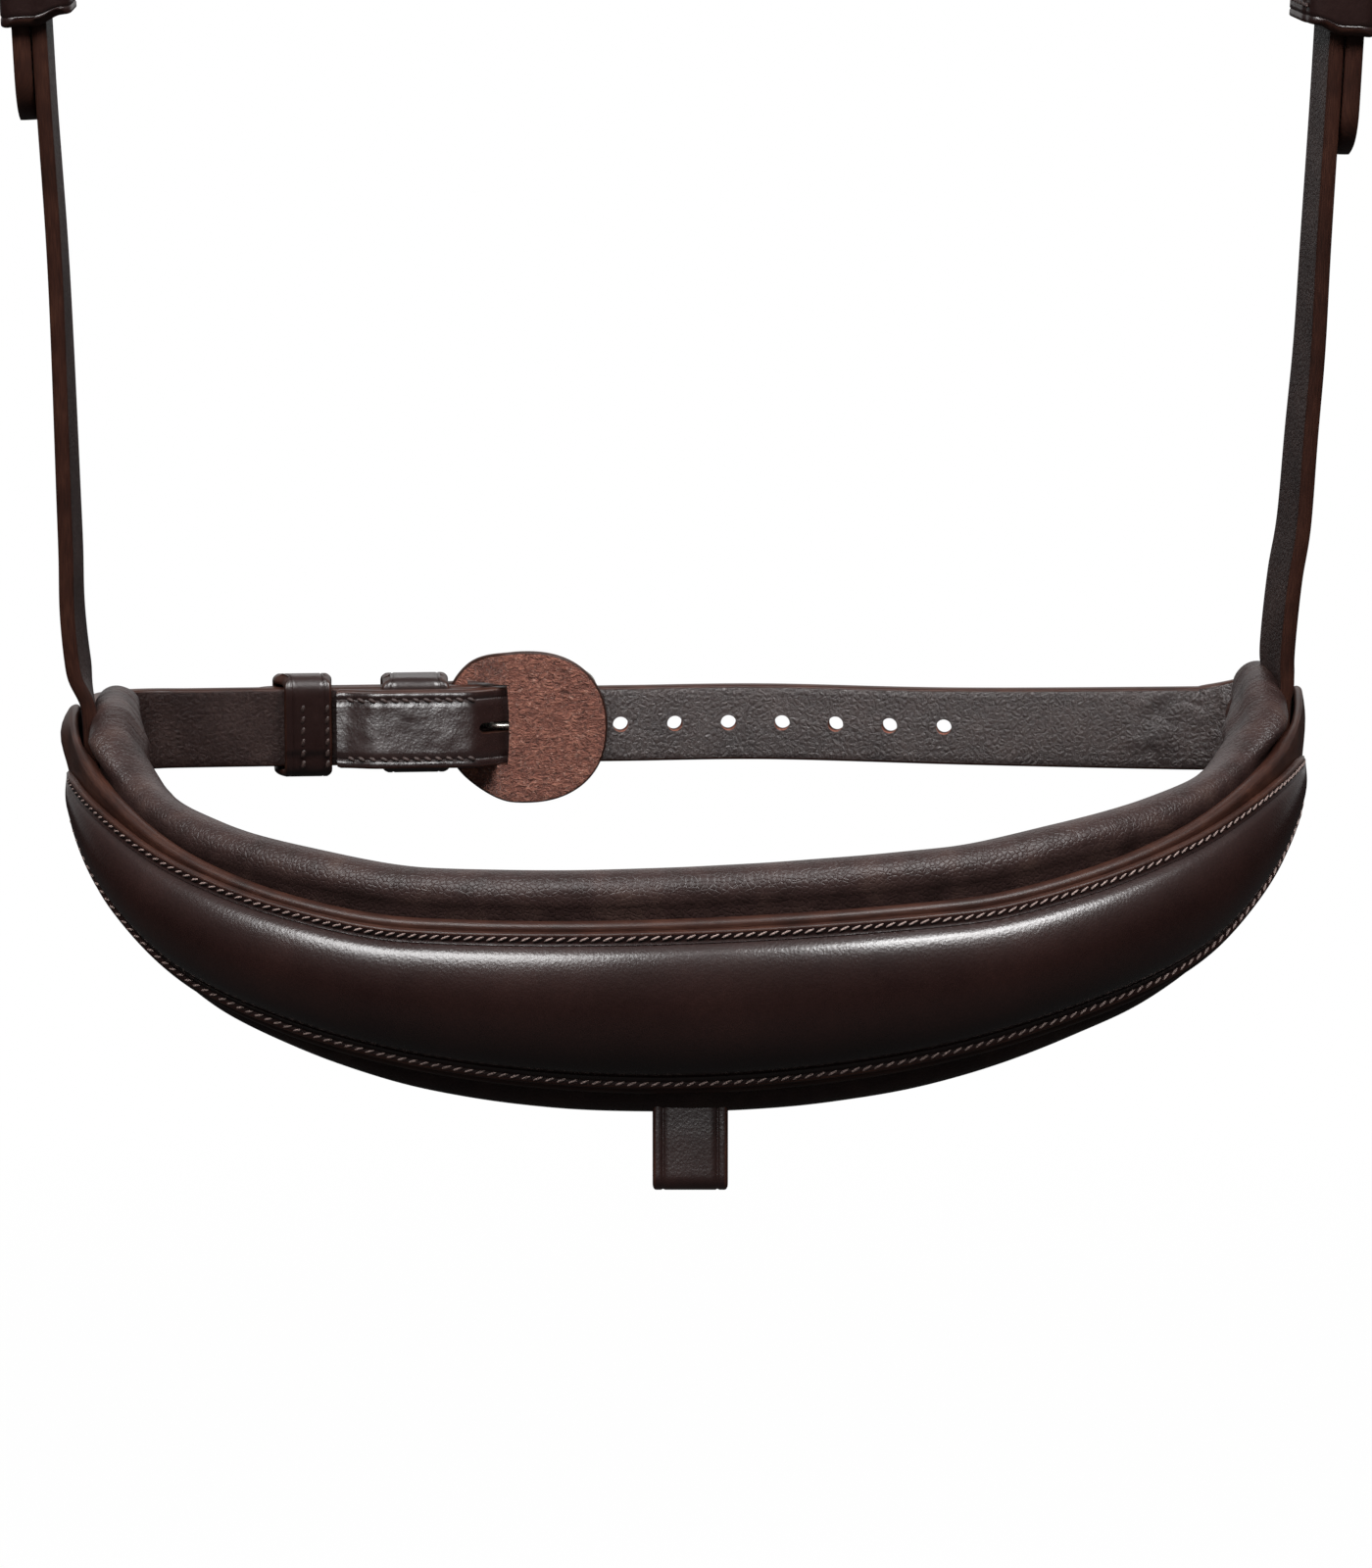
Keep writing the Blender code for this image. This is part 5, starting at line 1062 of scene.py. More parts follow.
def turned_end(name, node, seam, rows, matrix, width, tail, sink, finishes=STRAP_FINISHES):
    """A strap whose end is turned back round a buckle's bar: slotted for the tongue and sewn down."""
    mesh, table = swept_strap(name, rows, False, finishes=finishes)
    half, reach = TONGUE_RADIUS + GAP, 2 * fold_radius() + FOLD_THICKNESS
    slot = slot_cutter(matrix, (-TONGUE_SLOT_BACK, -reach, -half), (reach, reach, half), EDGE)
    place_piece(name, cut_with(mesh, [slot]), "bridle", "bridle_leather", node)
    end = distances(table)[-1]
    row = []
    for across in (width / 2 - TURNED_SEAM_INSET, TURNED_SEAM_INSET - width / 2):
        row += strap_stitches(table, end - tail + TURNED_SEAM_START, end - TURNED_SEAM_END, across, sink)
    sew(seam, "bridle", row, DARK_THREAD, TURNED_STITCH)


def turned_thicknesses(before, start, count):
    """A strap's thicknesses up to its fold, and thinned over the fold's first points."""
    out = before + [lerp(start, FOLD_THICKNESS, ease(i / 8)) for i in range(8)]
    return out + [FOLD_THICKNESS] * (count - len(out))


def jaw_buckle_strap():
    """The left half of the jaw strap, turned back round the buckle's bar and sewn down."""
    root = jaw_root(-1)
    base = JAW_BAR.z + JAW_ROOT_HEIGHT
    for i, point in enumerate(root):
        point.z = lerp(base, JAW_BAR.z, ease((i - 1) / (len(root) - 2))) - DROP
    join = JAW.inverted() @ root[-1]
    run = in_frame(JAW, [(lerp(join.x, -FOLD_RUN, t), JAW_PLY) for t in (0.12, 0.35, 0.6, 0.85)])
    fold = in_frame(JAW, fold_points(JAW_PLY_DROP, JAW_THICKNESS, JAW_TAIL, JAW_FIXED_KEEPER))
    root = smooth_line(root, 4)
    points = root[:-1] + run + fold
    turn = len(root) - 1 + len(run)
    halves = [lerp(JAW_ROOT_WIDTH, JAW_WIDTH, ease(i / turn)) / 2 for i in range(turn)]
    halves += [JAW_WIDTH / 2] * len(fold)
    thick = [lerp(HANGER_THICKNESS, JAW_THICKNESS, ease(i / turn)) for i in range(turn)]
    thick = turned_thicknesses(thick, JAW_THICKNESS, len(points))
    turned_end("jaw_strap_buckle_end", "jaw_buckle_strap", "jaw_end_stitches",
               rows_of(points, UP, halves, thick), JAW, JAW_WIDTH, JAW_TAIL, 0.0, TURNED_FINISHES)


def holes_on(table, first, pitch, count, across):
    """Centres and directions of holes along a strap's table, from a start distance."""
    lengths = distances(table)
    places = []
    for at in [first + pitch * i for i in range(count)]:
        spot = Vector([float(np.interp(at, lengths, table[:, k])) for k in range(3)])
        on = Vector([float(np.interp(at + 0.001, lengths, table[:, k])) for k in range(3)])
        places.append((spot, (on - spot).cross(across).normalized()))
    return places


def tongue_hole(matrix, thickness):
    """The long hole that a buckle's tongue passes through, in a billet."""
    half, reach = TONGUE_RADIUS + HOLE_SLOT_SIDE, fold_radius() + 2 * thickness
    return slot_cutter(matrix, (HOLE_SLOT_START, -reach, -half), (HOLE_SLOT_END, 2 * reach, half), HOLE)


def jaw_billet_strap():
    """The right half of the jaw strap: a punched billet that runs through the buckle and keepers."""
    near = in_frame(JAW, over_bar_points(
        JAW_BILLET, JAW_BILLET_THICKNESS, BILLET_RISE_FROM, BILLET_RISE_TO, BILLET_TIP))
    root = jaw_root(1)[::-1]
    for i, point in enumerate(root):
        point.z = JAW_BAR.z + BILLET_ROOT_LIFT * ease(i / (len(root) - 2)) - DROP
    start = near[-1]
    middle = []
    for share, rise in BILLET_BULGE_SHARES:
        spot = start.lerp(root[0], share)
        spot.y += (root[0].x - start.x) * rise
        middle.append(spot)
    lead = start + (JAW.to_3x3() @ Vector((1, 0, 0))) * FRAME_LENGTH / 2
    far = smooth_line([start, lead] + middle + root, 8)
    far_table = refine([tuple(p) for p in far], 0.001, 0)
    far = [Vector(p) for p in far_table[:, :3]]
    points = near[:-1] + far
    turn = len(near) - 1
    shares = [i / len(far) for i in range(len(far))]
    halves = [BILLET_WIDTH / 2] * turn
    halves += [lerp(BILLET_WIDTH, BILLET_ROOT_WIDTH, eased(share, BILLET_WIDER_RUN)) / 2 for share in shares]
    thick = [JAW_BILLET_THICKNESS] * turn
    thick += [lerp(JAW_BILLET_THICKNESS, HANGER_THICKNESS, share) for share in shares]
    rows = pointed_tip(rows_of(points, UP, halves, thick), BILLET_WIDTH)
    mesh, _ = swept_strap("jaw_strap_billet", rows, False, False, (GRAIN, EDGE, RUCKED))
    places = holes_on(far_table, FIRST_HOLE - FRAME_LENGTH, HOLE_PITCH, HOLE_COUNT, UP)
    holes = hole_cutters(places, HOLE_RADIUS, 3 * JAW_BILLET_THICKNESS, HOLE)
    mesh = cut_with(mesh, [tongue_hole(JAW, JAW_BILLET_THICKNESS), holes])
    place_piece("jaw_strap_billet", mesh, "bridle", "bridle_leather", "jaw_billet_strap")


def pointed_tip(rows, width, length=0.7, at_end=False):
    """Rounds a billet's tip: its half width follows a rounded point over a share of the strap's width."""
    if at_end:
        rows = rows[::-1]
    first = Vector(rows[0][:3])
    ahead = (Vector(rows[1][:3]) - first).normalized()
    reach = width * length
    out = []
    for i in range(14):
        t = i / 14
        spot = first + ahead * reach * t
        half = width / 2 * max(math.sqrt(max(1 - (1 - t) ** 2.3, 0)), 0.16)
        out.append((*spot, *rows[0][3:6], half, rows[0][7]))
    for row in rows:
        way = Vector(row[:3]) - first
        if way.dot(ahead) > reach or way.length > 2 * reach:
            out.append(row)
    return out[::-1] if at_end else out


def buckle(label, matrix, width):
    """Frame and tongue, each bent from one drawn wire."""
    r = BAR_RADIUS
    side = width / 2 + FRAME_SIDE_GAP + r
    half = [(0, 0, side - r), (r / 2, 0, side), (FRAME_LENGTH - 2 * r, FRAME_LIFT, side),
            (FRAME_LENGTH - r / 2, FRAME_LIFT, side - r), (FRAME_LENGTH, FRAME_LIFT, side - 2 * r)]
    corners = [matrix @ Vector(p) for p in half + [(s, q, -w) for s, q, w in reversed(half)]]
    mesh = tube(label + "_frame_wire", corners, r, True, 20, r)
    place_piece(label + "_frame_wire", mesh, label + "_frame_body", "nickel_wire", label + "_buckle_frame")
    eye, start = r + GAP + TONGUE_RADIUS, math.radians(-30)
    points = []
    for i in range(25):
        angle = start - (2 * math.pi + start - math.pi / 2) * i / 24
        c = math.cos(angle)
        reach = eye * c if c > 0 else -TONGUE_EYE * abs(c) ** TONGUE_EYE_FULLNESS
        points.append((reach, eye * math.sin(angle)))
    rest = FRAME_LIFT + eye
    points += [(FRAME_LENGTH / 2, lerp(eye, rest, 0.4)), (FRAME_LENGTH - r, rest),
               (FRAME_LENGTH + TONGUE_OVERHANG, rest)]
    wire = in_frame(matrix, points)
    mesh = tube(label + "_tongue_pin", wire, TONGUE_RADIUS, False, 16, TONGUE_BEND, tip=True)
    place_piece(label + "_tongue_pin", mesh, label + "_tongue_body", "nickel_wire", label + "_buckle_tongue")


def keeper(label, kind, matrix, along, low, high, half_width, wall):
    """A leather strip bent round the straps, its ends lapped. along is its middle and length. Its corners
    are rounded at the bends. A runner slides, and is narrower and stitched where it is lapped."""
    sewn = kind == "runner"
    name, body = label + "_" + kind + "_loop", label + "_runner_body" if sewn else "bridle"
    middle, length = along
    half, centre = (high - low) / 2 + wall / 2, (high + low) / 2
    wide = half_width + wall / 2
    corner = wall * 1.3
    path = []
    for k, (sx, sz) in enumerate(((1, 1), (-1, 1), (-1, -1), (1, -1))):
        for i in range(9):
            angle = math.pi / 2 * (k + i / 8)
            path.append((centre + sx * (half - corner) + corner * math.cos(angle),
                         sz * (wide - corner) + corner * math.sin(angle)))
    path.append(path[0])
    line = refine([(q, w, 0.0) for q, w in path], 0.0006, 1)[:-1]
    total = len(line)
    rings = []
    for i in range(total):
        tangent = line[(i + 1) % total][:2] - line[i - 1][:2]
        out = np.array((tangent[1], -tangent[0]))
        out /= np.linalg.norm(out)
        if np.dot(out, line[i][:2] - (centre, 0)) < 0:
            out = -out
        points, zones = section(length / 2, wall, True, True, KEEPER_ROUND)
        q, w = line[i][:2]
        lap = 0.0
        if q < centre:
            lap = KEEPER_LAP_STEP * ease((w + wide * 0.55) / 0.0006) * ease((wide * 1.2 - w) / 0.001)
        front = ease((centre - q) / half) if sewn else 0
        ring = []
        for a, b in points:
            lift = b + (lap if b > 0 else 0)
            side = w + out[1] * lift
            reach = max(abs(side) - (wide + wall / 2 - KEEPER_CORNER), 0)
            inset = KEEPER_CORNER - math.sqrt(max(KEEPER_CORNER**2 - reach**2, 0))
            inset *= (2 * abs(a) / length) ** 4
            at = a * lerp(1, KEEPER_LAP_SHARE, front) - math.copysign(inset, a) + KEEPER_LAP_SHIFT * front
            ring.append(matrix @ Vector((middle + at, q + out[0] * lift, side)))
        rings.append(ring)
    mesh = skin(name, rings, WORN_FINISHES, zones, joined=True)
    place_piece(name, mesh, body, "bridle_leather", label + "_" + kind + "_keeper")
    if sewn:
        stitches, turn = [], matrix.to_3x3()
        lay, up = turn @ Vector((KEEPER_SLANT, 0, 1)), turn @ -BACK
        face = centre - half - wall / 2 - KEEPER_SEAM_LIFT
        for at in (0.0, length / 2 * KEEPER_LAP_SHARE + KEEPER_SEAM_CLEAR):
            for i in range(int((2 * wide - KEEPER_SEAM_MARGIN) / KEEPER_SEAM_PITCH)):
                spot = Vector((middle + KEEPER_LAP_SHIFT - KEEPER_SEAM_INSET + at, face,
                               -wide + KEEPER_SEAM_PITCH * (i + 1)))
                stitches.append((matrix @ spot, lay, up))
        sew(name + "_stitches", body, stitches, DARK_THREAD, KEEPER_STITCH)


def guard_outline(angle):
    """Distance of the guard's edge from its middle in a direction: a slightly squared circle."""
    c, s = abs(math.cos(angle)) / GUARD_HALF_LENGTH, abs(math.sin(angle)) / GUARD_HALF_WIDTH
    return 1 / (c**GUARD_FULLNESS + s**GUARD_FULLNESS) ** (1 / GUARD_FULLNESS)


def buckle_guard():
    """The round leather guard between buckle and jaw, bent over the strap that passes through its slot."""
    rows, sides = [], 120
    rim = GUARD_RIM / GUARD_HALF_WIDTH
    outer = [(i / 14 * (1 - rim), 0.5) for i in range(1, 15)]
    turns = [math.pi * i / 8 for i in range(1, 8)]
    edge = [(1 - rim + rim * math.sin(a), 0.5 * math.cos(a)) for a in turns]
    inner = [(share, -level) for share, level in reversed(outer)]
    for share, through in outer + edge + inner:
        ring = []
        for k in range(sides):
            angle = 2 * math.pi * k / sides
            reach = guard_outline(angle) * share
            s = GUARD_CENTRE + reach * math.cos(angle)
            level = ease((s - GUARD_BEND_FROM) / (GUARD_BEND_TO - GUARD_BEND_FROM))
            q = lerp(GUARD_OUTER_LEVEL, GUARD_INNER_LEVEL, level) + through * GUARD_THICKNESS
            ring.append(JAW @ Vector((s, q, reach * math.sin(angle))))
        rows.append(ring)
    mesh = skin("suede_buckle_guard", rows, (SUEDE, EDGE), [0] * sides)
    marks = np.zeros(len(mesh.polygons), int)
    first, last = len(outer) - 1, len(outer) + len(edge)
    marks[first * sides:last * sides] = 1
    mesh.polygons.foreach_set("material_index", marks)
    half = JAW_WIDTH / 2 + 2 * GAP
    ways = [lerp(-half, half, i / 24) for i in range(25)]
    outline = [(GUARD_SLOT_TO - GUARD_SLOT_BOW * (w / half) ** 2, w) for w in ways]
    for i, inset in enumerate(GUARD_SLOT_CORNER):
        outline[i] = (outline[i][0], -JAW_WIDTH / 2 + inset)
    outline += [(GUARD_SLOT_FROM, -w) for w in ways]
    mesh = cut_with(mesh, [prism(JAW, outline, -GUARD_HALF_LENGTH, GUARD_HALF_LENGTH, EDGE)])
    place_piece("suede_buckle_guard", mesh, "bridle", "suede_guard", "buckle_guard")


def jaw_fittings():
    """The jaw buckle and its two keepers."""
    buckle("jaw", JAW, JAW_WIDTH)
    over = fold_radius() + FOLD_THICKNESS / 2 + GAP + JAW_BILLET_THICKNESS / 2
    middle, length = JAW_FIXED_KEEPER
    t = (middle + length / 2 - BILLET_RISE_FROM) / (BILLET_RISE_TO - BILLET_RISE_FROM)
    high = lerp(JAW_BILLET, over, ease(t)) + JAW_BILLET_THICKNESS / 2 + SLACK
    keeper("jaw", "fixed", JAW, JAW_FIXED_KEEPER, JAW_PLY_DROP - GAP / 2, high, JAW_WIDTH / 2 + SLACK,
           FIXED_KEEPER_WALL)
    inner = JAW_PLY - JAW_THICKNESS / 2 - SLACK
    high = JAW_BILLET + JAW_BILLET_THICKNESS / 2 + SLACK
    keeper("jaw", "runner", JAW, JAW_RUNNER, inner, high, JAW_WIDTH / 2 + 2 * SLACK, KEEPER_WALL)


# Hanging straps and headpiece

def hanger_across(side, twist):
    """Direction across a hanging strap that is twisted out of the plane of the horse's side."""
    return Vector((-math.sin(twist), side * math.cos(twist), 0))


def top_frame(side):
    """Frame of an upper buckle: x up along the hanging strap, y away from the horse."""
    along = Vector((side * math.sin(HANGER_SPLAY), 0, math.cos(HANGER_SPLAY)))
    out = hanger_across(side, TOP_TWIST_RIGHT if side > 0 else 0).cross(along)
    x = NOSE_HALF_WIDTH + ROOT_OFFSET + HANGER_OUTSET - GAP / 2 - HANGER_THICKNESS / 2
    return frame_matrix(Vector((side * x, -(HANGER_WIDTH / 2 + HANGER_BACK), HANGER_TOP - DROP)), along, out)


def hanger(side):
    """A hanging strap, from between the noseband's layers up to its buckle."""
    label = "left" if side < 0 else "right"
    matrix = top_frame(side)
    ply = GAP / 2 + HANGER_THICKNESS / 2
    fold = in_frame(matrix, fold_points(0, HANGER_THICKNESS, TOP_TAIL, TOP_FIXED_KEEPER, FOLD_RUN / 2))
    upper = in_frame(matrix, [(-HANGER_TOP * share, ply) for share in (0.30, 0.22, 0.12)])
    front = band_point(side * (HALF_ARC - HANGER_BACK - HANGER_WIDTH), 0, ROOT_OFFSET)
    back = band_point(side * (HALF_ARC - HANGER_BACK), 0, ROOT_OFFSET)
    foot, foot_across = (front + back) / 2, side * (back - front)
    foot_across.z = 0
    foot_across.normalize()
    heights = (-HANGER_TUCK, BASE_TOP + TOP_CLIMB / 2, BASE_TOP + TOP_CLIMB)
    lower = [foot + Vector((0, 0, z)) for z in heights]
    for share, out in HANGER_LEFT_SHARES if side < 0 else HANGER_RIGHT_SHARES:
        lower.append(Vector((foot.x + side * HANGER_OUTSET * out, foot.y, HANGER_TOP * share - DROP)))
    points = smooth_line(lower + upper, 6) + fold
    top_across = matrix.to_3x3() @ UP
    low_across = hanger_across(side, HANGER_TWIST_RIGHT if side > 0 else HANGER_TWIST_LEFT)
    across = []
    for point in points:
        share = (point.z + DROP) / HANGER_TOP
        turned, high = eased(share, HANGER_TURN), eased(share, HANGER_STRAIGHTEN)
        across.append(foot_across.lerp(low_across, turned).lerp(top_across, high))
    count = len(points)
    thick = turned_thicknesses([HANGER_THICKNESS] * (count - len(fold)), HANGER_THICKNESS, count)
    rows = rows_of(points, across, [HANGER_WIDTH / 2] * count, thick)
    name = "hanging_strap_" + label
    turned_end(name, "hanger_" + label, name + "_stitches", rows, matrix, HANGER_WIDTH, TOP_TAIL,
               HANGER_SEAM_SINK)


TOP_BILLET = GAP / 2 + HANGER_THICKNESS + GAP + CROWN_THICKNESS / 2


def top_fittings(side):
    """An upper buckle and its two keepers."""
    label = "top_left" if side < 0 else "top_right"
    matrix = top_frame(side)
    buckle(label, matrix, HANGER_WIDTH)
    half = HANGER_WIDTH / 2 + SLACK
    high = TOP_BILLET + CROWN_THICKNESS / 2 + SLACK
    keeper(label, "fixed", matrix, TOP_FIXED_KEEPER, -GAP / 2, high, half, FIXED_KEEPER_WALL)
    low = -GAP / 2 - FOLD_THICKNESS - SLACK
    keeper(label, "runner", matrix, TOP_RUNNERS[side], low, high, half + SLACK, TOP_KEEPER_WALL)


def arch_point(angle):
    """A point of the headpiece's arch, at an angle from its top."""
    half = NOSE_HALF_WIDTH + ROOT_OFFSET + HANGER_OUTSET + ARCH_OUTSET + billet_under(CROWN_THICKNESS)
    return Vector((half * math.sin(angle), 0, ARCH_SPRING + ARCH_RISE * math.cos(angle) - DROP))


def crown_across(share):
    """Direction across the headpiece at a share of its length: it twists from each buckle to the poll."""
    end = CROWN_TWIST_SHARE
    left = ease(1 - (share - end / 2) / end)
    right = ease(1 - (1 - share - end / 2) / end)
    low_left = top_frame(-1).to_3x3() @ -UP
    low_right = top_frame(1).to_3x3() @ UP
    return BACK.lerp(low_left, left).lerp(low_right, right)


def crown_strap():
    """The headpiece: one strap over the poll that ends in a billet on each side."""
    left, right = [in_frame(top_frame(side), over_bar_points(
        TOP_BILLET, CROWN_THICKNESS, -FOLD_RUN, -BAR_RADIUS, TOP_TIPS[side])) for side in (-1, 1)]
    right.reverse()
    arch = [arch_point(math.radians(a)) for a in range(-80, 81, 20)]
    over = smooth_line([left[-1]] + arch + [right[0]], 12)
    over_table = refine([tuple(p) for p in over], 0.002, 0)
    over = [Vector(p) for p in over_table[:, :3]]
    points = left[:-1] + over + right[1:]
    lengths = [0.0]
    for a, b in zip(points, points[1:]):
        lengths.append(lengths[-1] + (b - a).length)
    places = [x / lengths[-1] for x in lengths]
    widths = [CROWN_WIDTH * look_up(CROWN_WIDTH_SHARES, share) / 2 for share in places]
    across = [crown_across(share) for share in places]
    rows = rows_of(points, across, widths, [CROWN_THICKNESS] * len(points))
    rows = pointed_tip(pointed_tip(rows, HANGER_WIDTH), HANGER_WIDTH, at_end=True)
    mesh, table = swept_strap("headpiece_strap", rows, True, step=0.0009)
    cutters = []
    for side in (-1, 1):
        matrix = top_frame(side)
        line = over_table if side < 0 else over_table[::-1]
        places = holes_on(line, FRAME_LENGTH / 2, TOP_HOLE_PITCH, TOP_HOLE_COUNT, BACK)
        out = (matrix.to_3x3() @ BACK).normalized()
        spare = matrix @ Vector((-TOP_HOLE_PITCH * TOP_SPARE_HOLE_SHARE, TOP_BILLET, 0))
        cutters.append(hole_cutters(places + [(spare, out)], HOLE_RADIUS, 4 * CROWN_THICKNESS, HOLE))
        cutters.append(tongue_hole(matrix, CROWN_THICKNESS))
    mesh = cut_with(mesh, cutters)
    place_piece("headpiece_strap", mesh, "bridle", "bridle_leather", "crown_strap")
    crown_stitches(table)


def crown_stitches(table):
    """Two rows that hold the pad under the wide part of the headpiece."""
    lengths = distances(table)
    row, middle = [], lengths[-1] / 2
    place = middle - CROWN_SEAM_REACH
    while place < middle + CROWN_SEAM_REACH:
        i = int(np.searchsorted(lengths, place))
        ahead = Vector(table[i + 1, :3] - table[i - 1, :3]).normalized()
        side = Vector(table[i, 3:6]).normalized()
        through = ahead.cross(side).normalized()
        for sign in (-1, 1):
            on, off = [Vector(table[k, :3]) + sign * side * (table[k, 6] - CROWN_SEAM_INSET)
                       for k in (i + 1, i - 1)]
            spot = (on + off) / 2 + through * (table[i, 7] / 2)
            row.append((spot, (on - off).normalized() + side * CROWN_SLANT, through))
        place += CROWN_SEAM_PITCH
    sew("headpiece_stitches", "bridle", row, THREAD, CROWN_STITCH)


def crown_pad():
    """The headpiece's pad: soft leather over foam, fuller between its seams."""
    rows = []
    count, spread, step = 190, CROWN_PAD_SPREAD, math.radians(1)
    for i in range(count + 1):
        angle = spread * math.sin(math.pi / 2 * (2 * i / count - 1))
        end = tip_factor(angle, spread, spread * (1 - CROWN_PAD_TIP_SHARE))
        half = lerp(CROWN_WIDTH * CROWN_END_SHARE, CROWN_WIDTH, end) / 2
        half += CROWN_PAD_OVERHANG * lerp(0.5, 1, end)
        radius = CROWN_PAD_THICKNESS / 2 * lerp(0.5, 1, end)
        close = tip_factor(angle, spread, math.radians(3))
        half, radius = half * max(close, 0.3), radius * max(close, 0.3)
        centre = arch_point(angle)
        ahead = (arch_point(angle + step) - arch_point(angle - step)).normalized()
        inward = BACK.cross(ahead).normalized()
        seat = CROWN_THICKNESS / 2 + GAP
        ring = []
        for depth, across in pad_outline(half, -half, radius, radius, CROWN_PAD_PUFF * end):
            swell = 0
            if depth > FLAT_SIDE:
                swell = CROWN_PUCKER * noise.noise(Vector((angle * 9, across * 90, 2.0)))
            ring.append(centre + inward * (seat + depth + swell) + Vector((0, across, 0)))
        rows.append(ring)
    mesh = skin("padded_headpiece_lining", rows, (PADDING,), [0] * len(ring), folded=[0.15] * len(rows))
    piece = place_piece("padded_headpiece_lining", mesh, "bridle", "soft_lining",
                        "crown_lining", "crown_foam")


# Flash loop

def flash_loop():
    """A strip folded into a loop that hangs from the middle of the noseband."""
    depth = BASE_THICKNESS + GAP + FLASH_POCKET_GAP + FLASH_THICKNESS + GAP / 2
    matrix = Matrix.Translation(band_point(FLASH_ARC, FLASH_AXIS, -depth))
    close = (FLASH_THICKNESS + GAP) / 2
    wide = (FLASH_OPENING + FLASH_THICKNESS) / 2
    corner = FLASH_CORNER + FLASH_THICKNESS / 2
    shift = wide - FLASH_INSET
    hem = LINING_BOTTOM - FLASH_AXIS
    front = [Vector((0, depth, height)) for depth, height in (
        (-close, FLASH_TAB), (-close, -FLASH_TAB / 2), (-close, hem - FLASH_THICKNESS / 2),
        (shift - wide, hem - 2 * FLASH_THICKNESS))]
    for i in range(7):
        angle = math.pi / 2 * i / 6
        front.append(Vector((0, shift - wide + corner * (1 - math.cos(angle)),
                             -FLASH_DROP + corner * (1 - math.sin(angle)))))
    back = [Vector((0, 2 * shift - point.y, point.z)) for point in reversed(front[3:])]
    back += [Vector((0, close, point.z)) for point in reversed(front[:3])]
    points = [matrix @ p for p in front + back]
    count = len(points)
    rows = rows_of(points, Vector((1, 0, 0)), [FLASH_WIDTH / 2] * count, [FLASH_THICKNESS] * count)
    mesh, _ = swept_strap("flash_strap_loop", rows, True, step=0.0004, passes=3)
    place_piece("flash_strap_loop", mesh, "flash_body", "bridle_leather", "flash_loop")


# Stage

CAMERA_DISTANCE, CAMERA_RISE, CAMERA_LENS = 1.3, math.radians(12), 156.49
LIT_POINT = Vector((0, -0.03, -0.37))
FLOOR_LEVEL, FLOOR_HALF = -0.78, 6
# Lamps: degrees to the right of the front, degrees up, metres away, size, watts, whether leather mirrors it
STUDIO_LAMPS = (
    ("box_left", -46, 54, 1.6, (0.8, 0.5), 30.0, True),
    ("box_right", 48, 56, 1.6, (0.7, 0.42), 32.0, True),
    ("fill", 0, 8, 1.9, (1.2, 0.8), 1.8, False),
    ("back", 180, 35, 1.8, (1.4, 0.8), 3.5, True))
# The low strip: the way to it, metres away, size and watts, and the pieces that it lights
LOW_STRIP = Vector((-0.09, -0.99, 0.05)), 1.6, (0.55, 0.3), 10.0
LOW_STRIP_PIECES = "jaw_strap_buckle_end", "jaw_strap_billet", "jaw_tongue_pin", "flash_strap_loop"


def facing(spot, target):
    """The rotation that points a camera or lamp at a target."""
    return (target - spot).to_track_quat("-Z", "Y").to_euler()


def area_lamp(name, spot, size, power):
    """A rectangular soft box that faces the part."""
    light = bpy.data.lights.new(name, "AREA")
    light.shape, light.size, light.size_y, light.energy = "RECTANGLE", size[0], size[1], power
    lamp = show(name, light)
    lamp.location = spot
    lamp.rotation_euler = facing(lamp.location, LIT_POINT)
    return lamp


def studio():
    """Camera, two large soft boxes above left and right, a weak fill, a lamp behind, world and floor."""
    data = bpy.data.cameras.new("camera")
    data.lens, data.sensor_width, data.sensor_fit, data.clip_end = CAMERA_LENS, 36.0, "AUTO", 20
    camera = show("camera", data)
    target = Vector((0, 0, -DROP))
    spot = target + CAMERA_DISTANCE * Vector((0, -math.cos(CAMERA_RISE), math.sin(CAMERA_RISE)))
    camera.location = spot
    camera.rotation_euler = facing(spot, target)
    bpy.context.scene.camera = camera
    for name, azimuth, rise, distance, size, power, mirrored in STUDIO_LAMPS:
        a, e = math.radians(azimuth), math.radians(rise)
        way = Vector((math.sin(a) * math.cos(e), -math.cos(a) * math.cos(e), math.sin(e)))
        area_lamp(name, LIT_POINT + distance * way, size, power).visible_glossy = mirrored
    low_strip()
    white_world()
    paper_floor()
    bpy.context.scene.view_settings.view_transform = "Standard"


def low_strip():
    """A strip in front, below the camera, for the upright straps and wire alone: their faces mirror it."""
    way, distance, size, power = LOW_STRIP
    lamp = area_lamp("low_strip", LIT_POINT + distance * way, size, power)
    lit = bpy.data.collections.new("lit_by_low_strip")
    for name in LOW_STRIP_PIECES:
        lit.objects.link(bpy.data.objects[name])
    lamp.light_linking.receiver_collection = lit


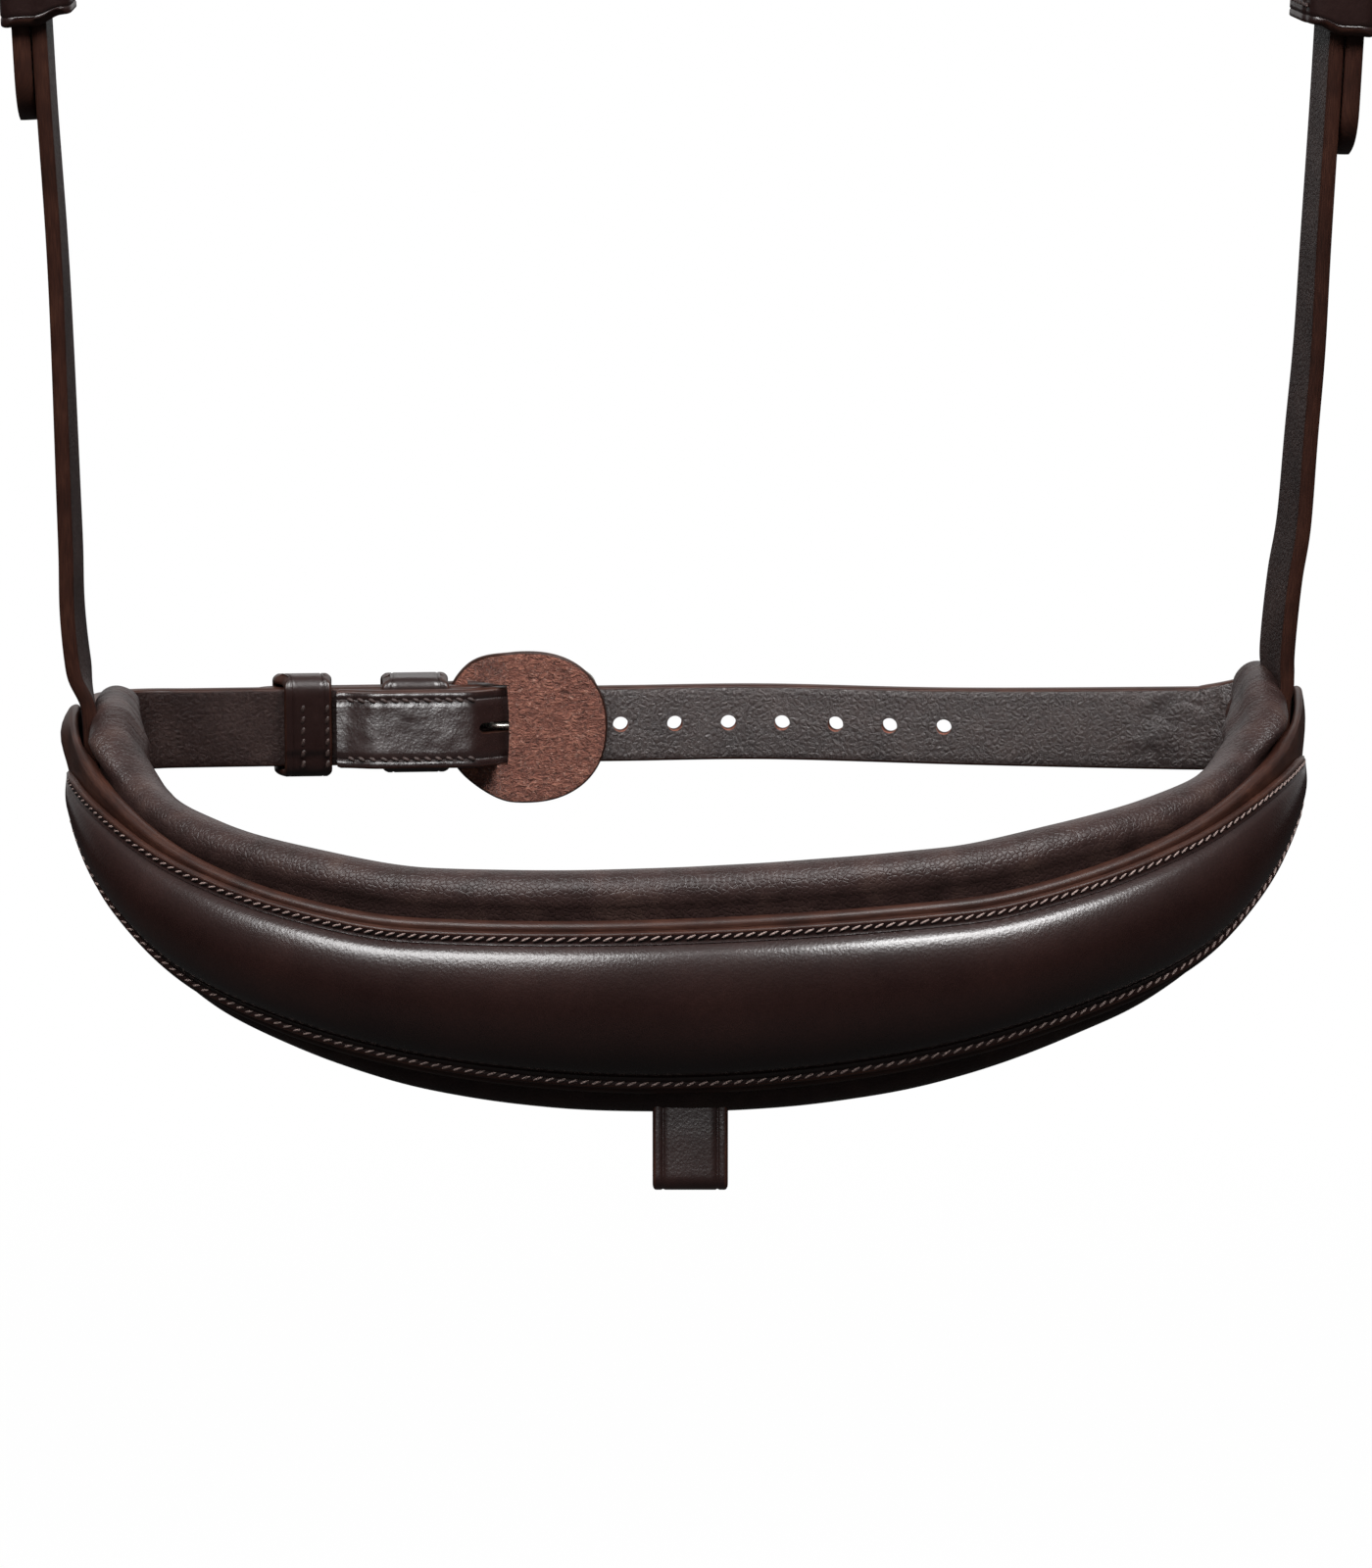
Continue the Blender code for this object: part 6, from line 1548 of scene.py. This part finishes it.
def white_world():
    """White where the camera looks. Mirrored rays see it paler behind the object than in front, as in a
    studio that is dark round the camera. Other rays get a dim light from above."""
    world = bpy.data.worlds.new("white_studio")
    bpy.context.scene.world = world
    world.use_nodes = True
    tree = world.node_tree
    tree.nodes.clear()
    path = add(tree, "LightPath").outputs
    ways = add(tree, "SeparateXYZ", {"Vector": add(tree, "TexCoord").outputs["Generated"]}).outputs
    behind = add(tree, "MapRange", {"Value": ways["Y"], "From Min": 0.45, "From Max": 0.95, "To Max": 0.6})
    above = add(tree, "MapRange", {
        "Value": ways["Z"], "From Min": 0.1, "From Max": 1.0, "To Min": 0.02, "To Max": 0.25})
    shiny = add(tree, "Math", {0: path["Is Glossy Ray"], 1: path["Is Transmission Ray"]},
                operation="ADD", use_clamp=True)
    mirrored = add(tree, "Math", {0: shiny, 1: behind, 2: above}, operation="MULTIPLY_ADD")
    strength = add(tree, "Mix", {"Factor": path["Is Camera Ray"], "A": mirrored, "B": 1.0})
    sky = add(tree, "Background", {"Color": (1, 1, 1, 1), "Strength": strength})
    add(tree, "OutputWorld", {"Surface": sky})


def paper_floor():
    """White paper that keeps a soft shadow near the object. Only the camera sees it white: it stays grey in
    the light that it throws back."""
    mesh = bpy.data.meshes.new("floor")
    r = FLOOR_HALF
    corners = [(x, y, FLOOR_LEVEL) for x, y in ((-r, -r), (r, -r), (r, r), (-r, r))]
    mesh.from_pydata(corners, [], [(0, 1, 2, 3)])
    floor = show("floor", mesh)
    material, tree, place = new_finish("white_paper_floor")
    seen = add(tree, "LightPath").outputs["Is Camera Ray"]
    reach = add(tree, "VectorMath", {0: place.outputs["Object"]}, operation="LENGTH")
    white = add(tree, "MapRange", {
        "Value": reach.outputs["Value"], "From Min": 0.5, "From Max": 1.5, "To Min": 0.85, "To Max": 1.0})
    share = add(tree, "Math", {0: seen, 1: white}, operation="MULTIPLY")
    tone = add(tree, "MapRange", {"Value": seen, "To Min": 0.04, "To Max": 0.85})
    paper = add(tree, "BsdfDiffuse", {"Color": tone})
    glow = add(tree, "Emission", {"Color": (1, 1, 1, 1), "Strength": 1.0})
    add(tree, "OutputMaterial", {"Surface": add(tree, "MixShader", {0: share, 1: paper, 2: glow})})
    mesh.materials.append(material)


base_strap()
raised_leather()
padded_lining()
jaw_buckle_strap()
jaw_billet_strap()
buckle_guard()
jaw_fittings()
for side in (-1, 1):
    hanger(side)
    top_fittings(side)
crown_strap()
crown_pad()
flash_loop()
studio()
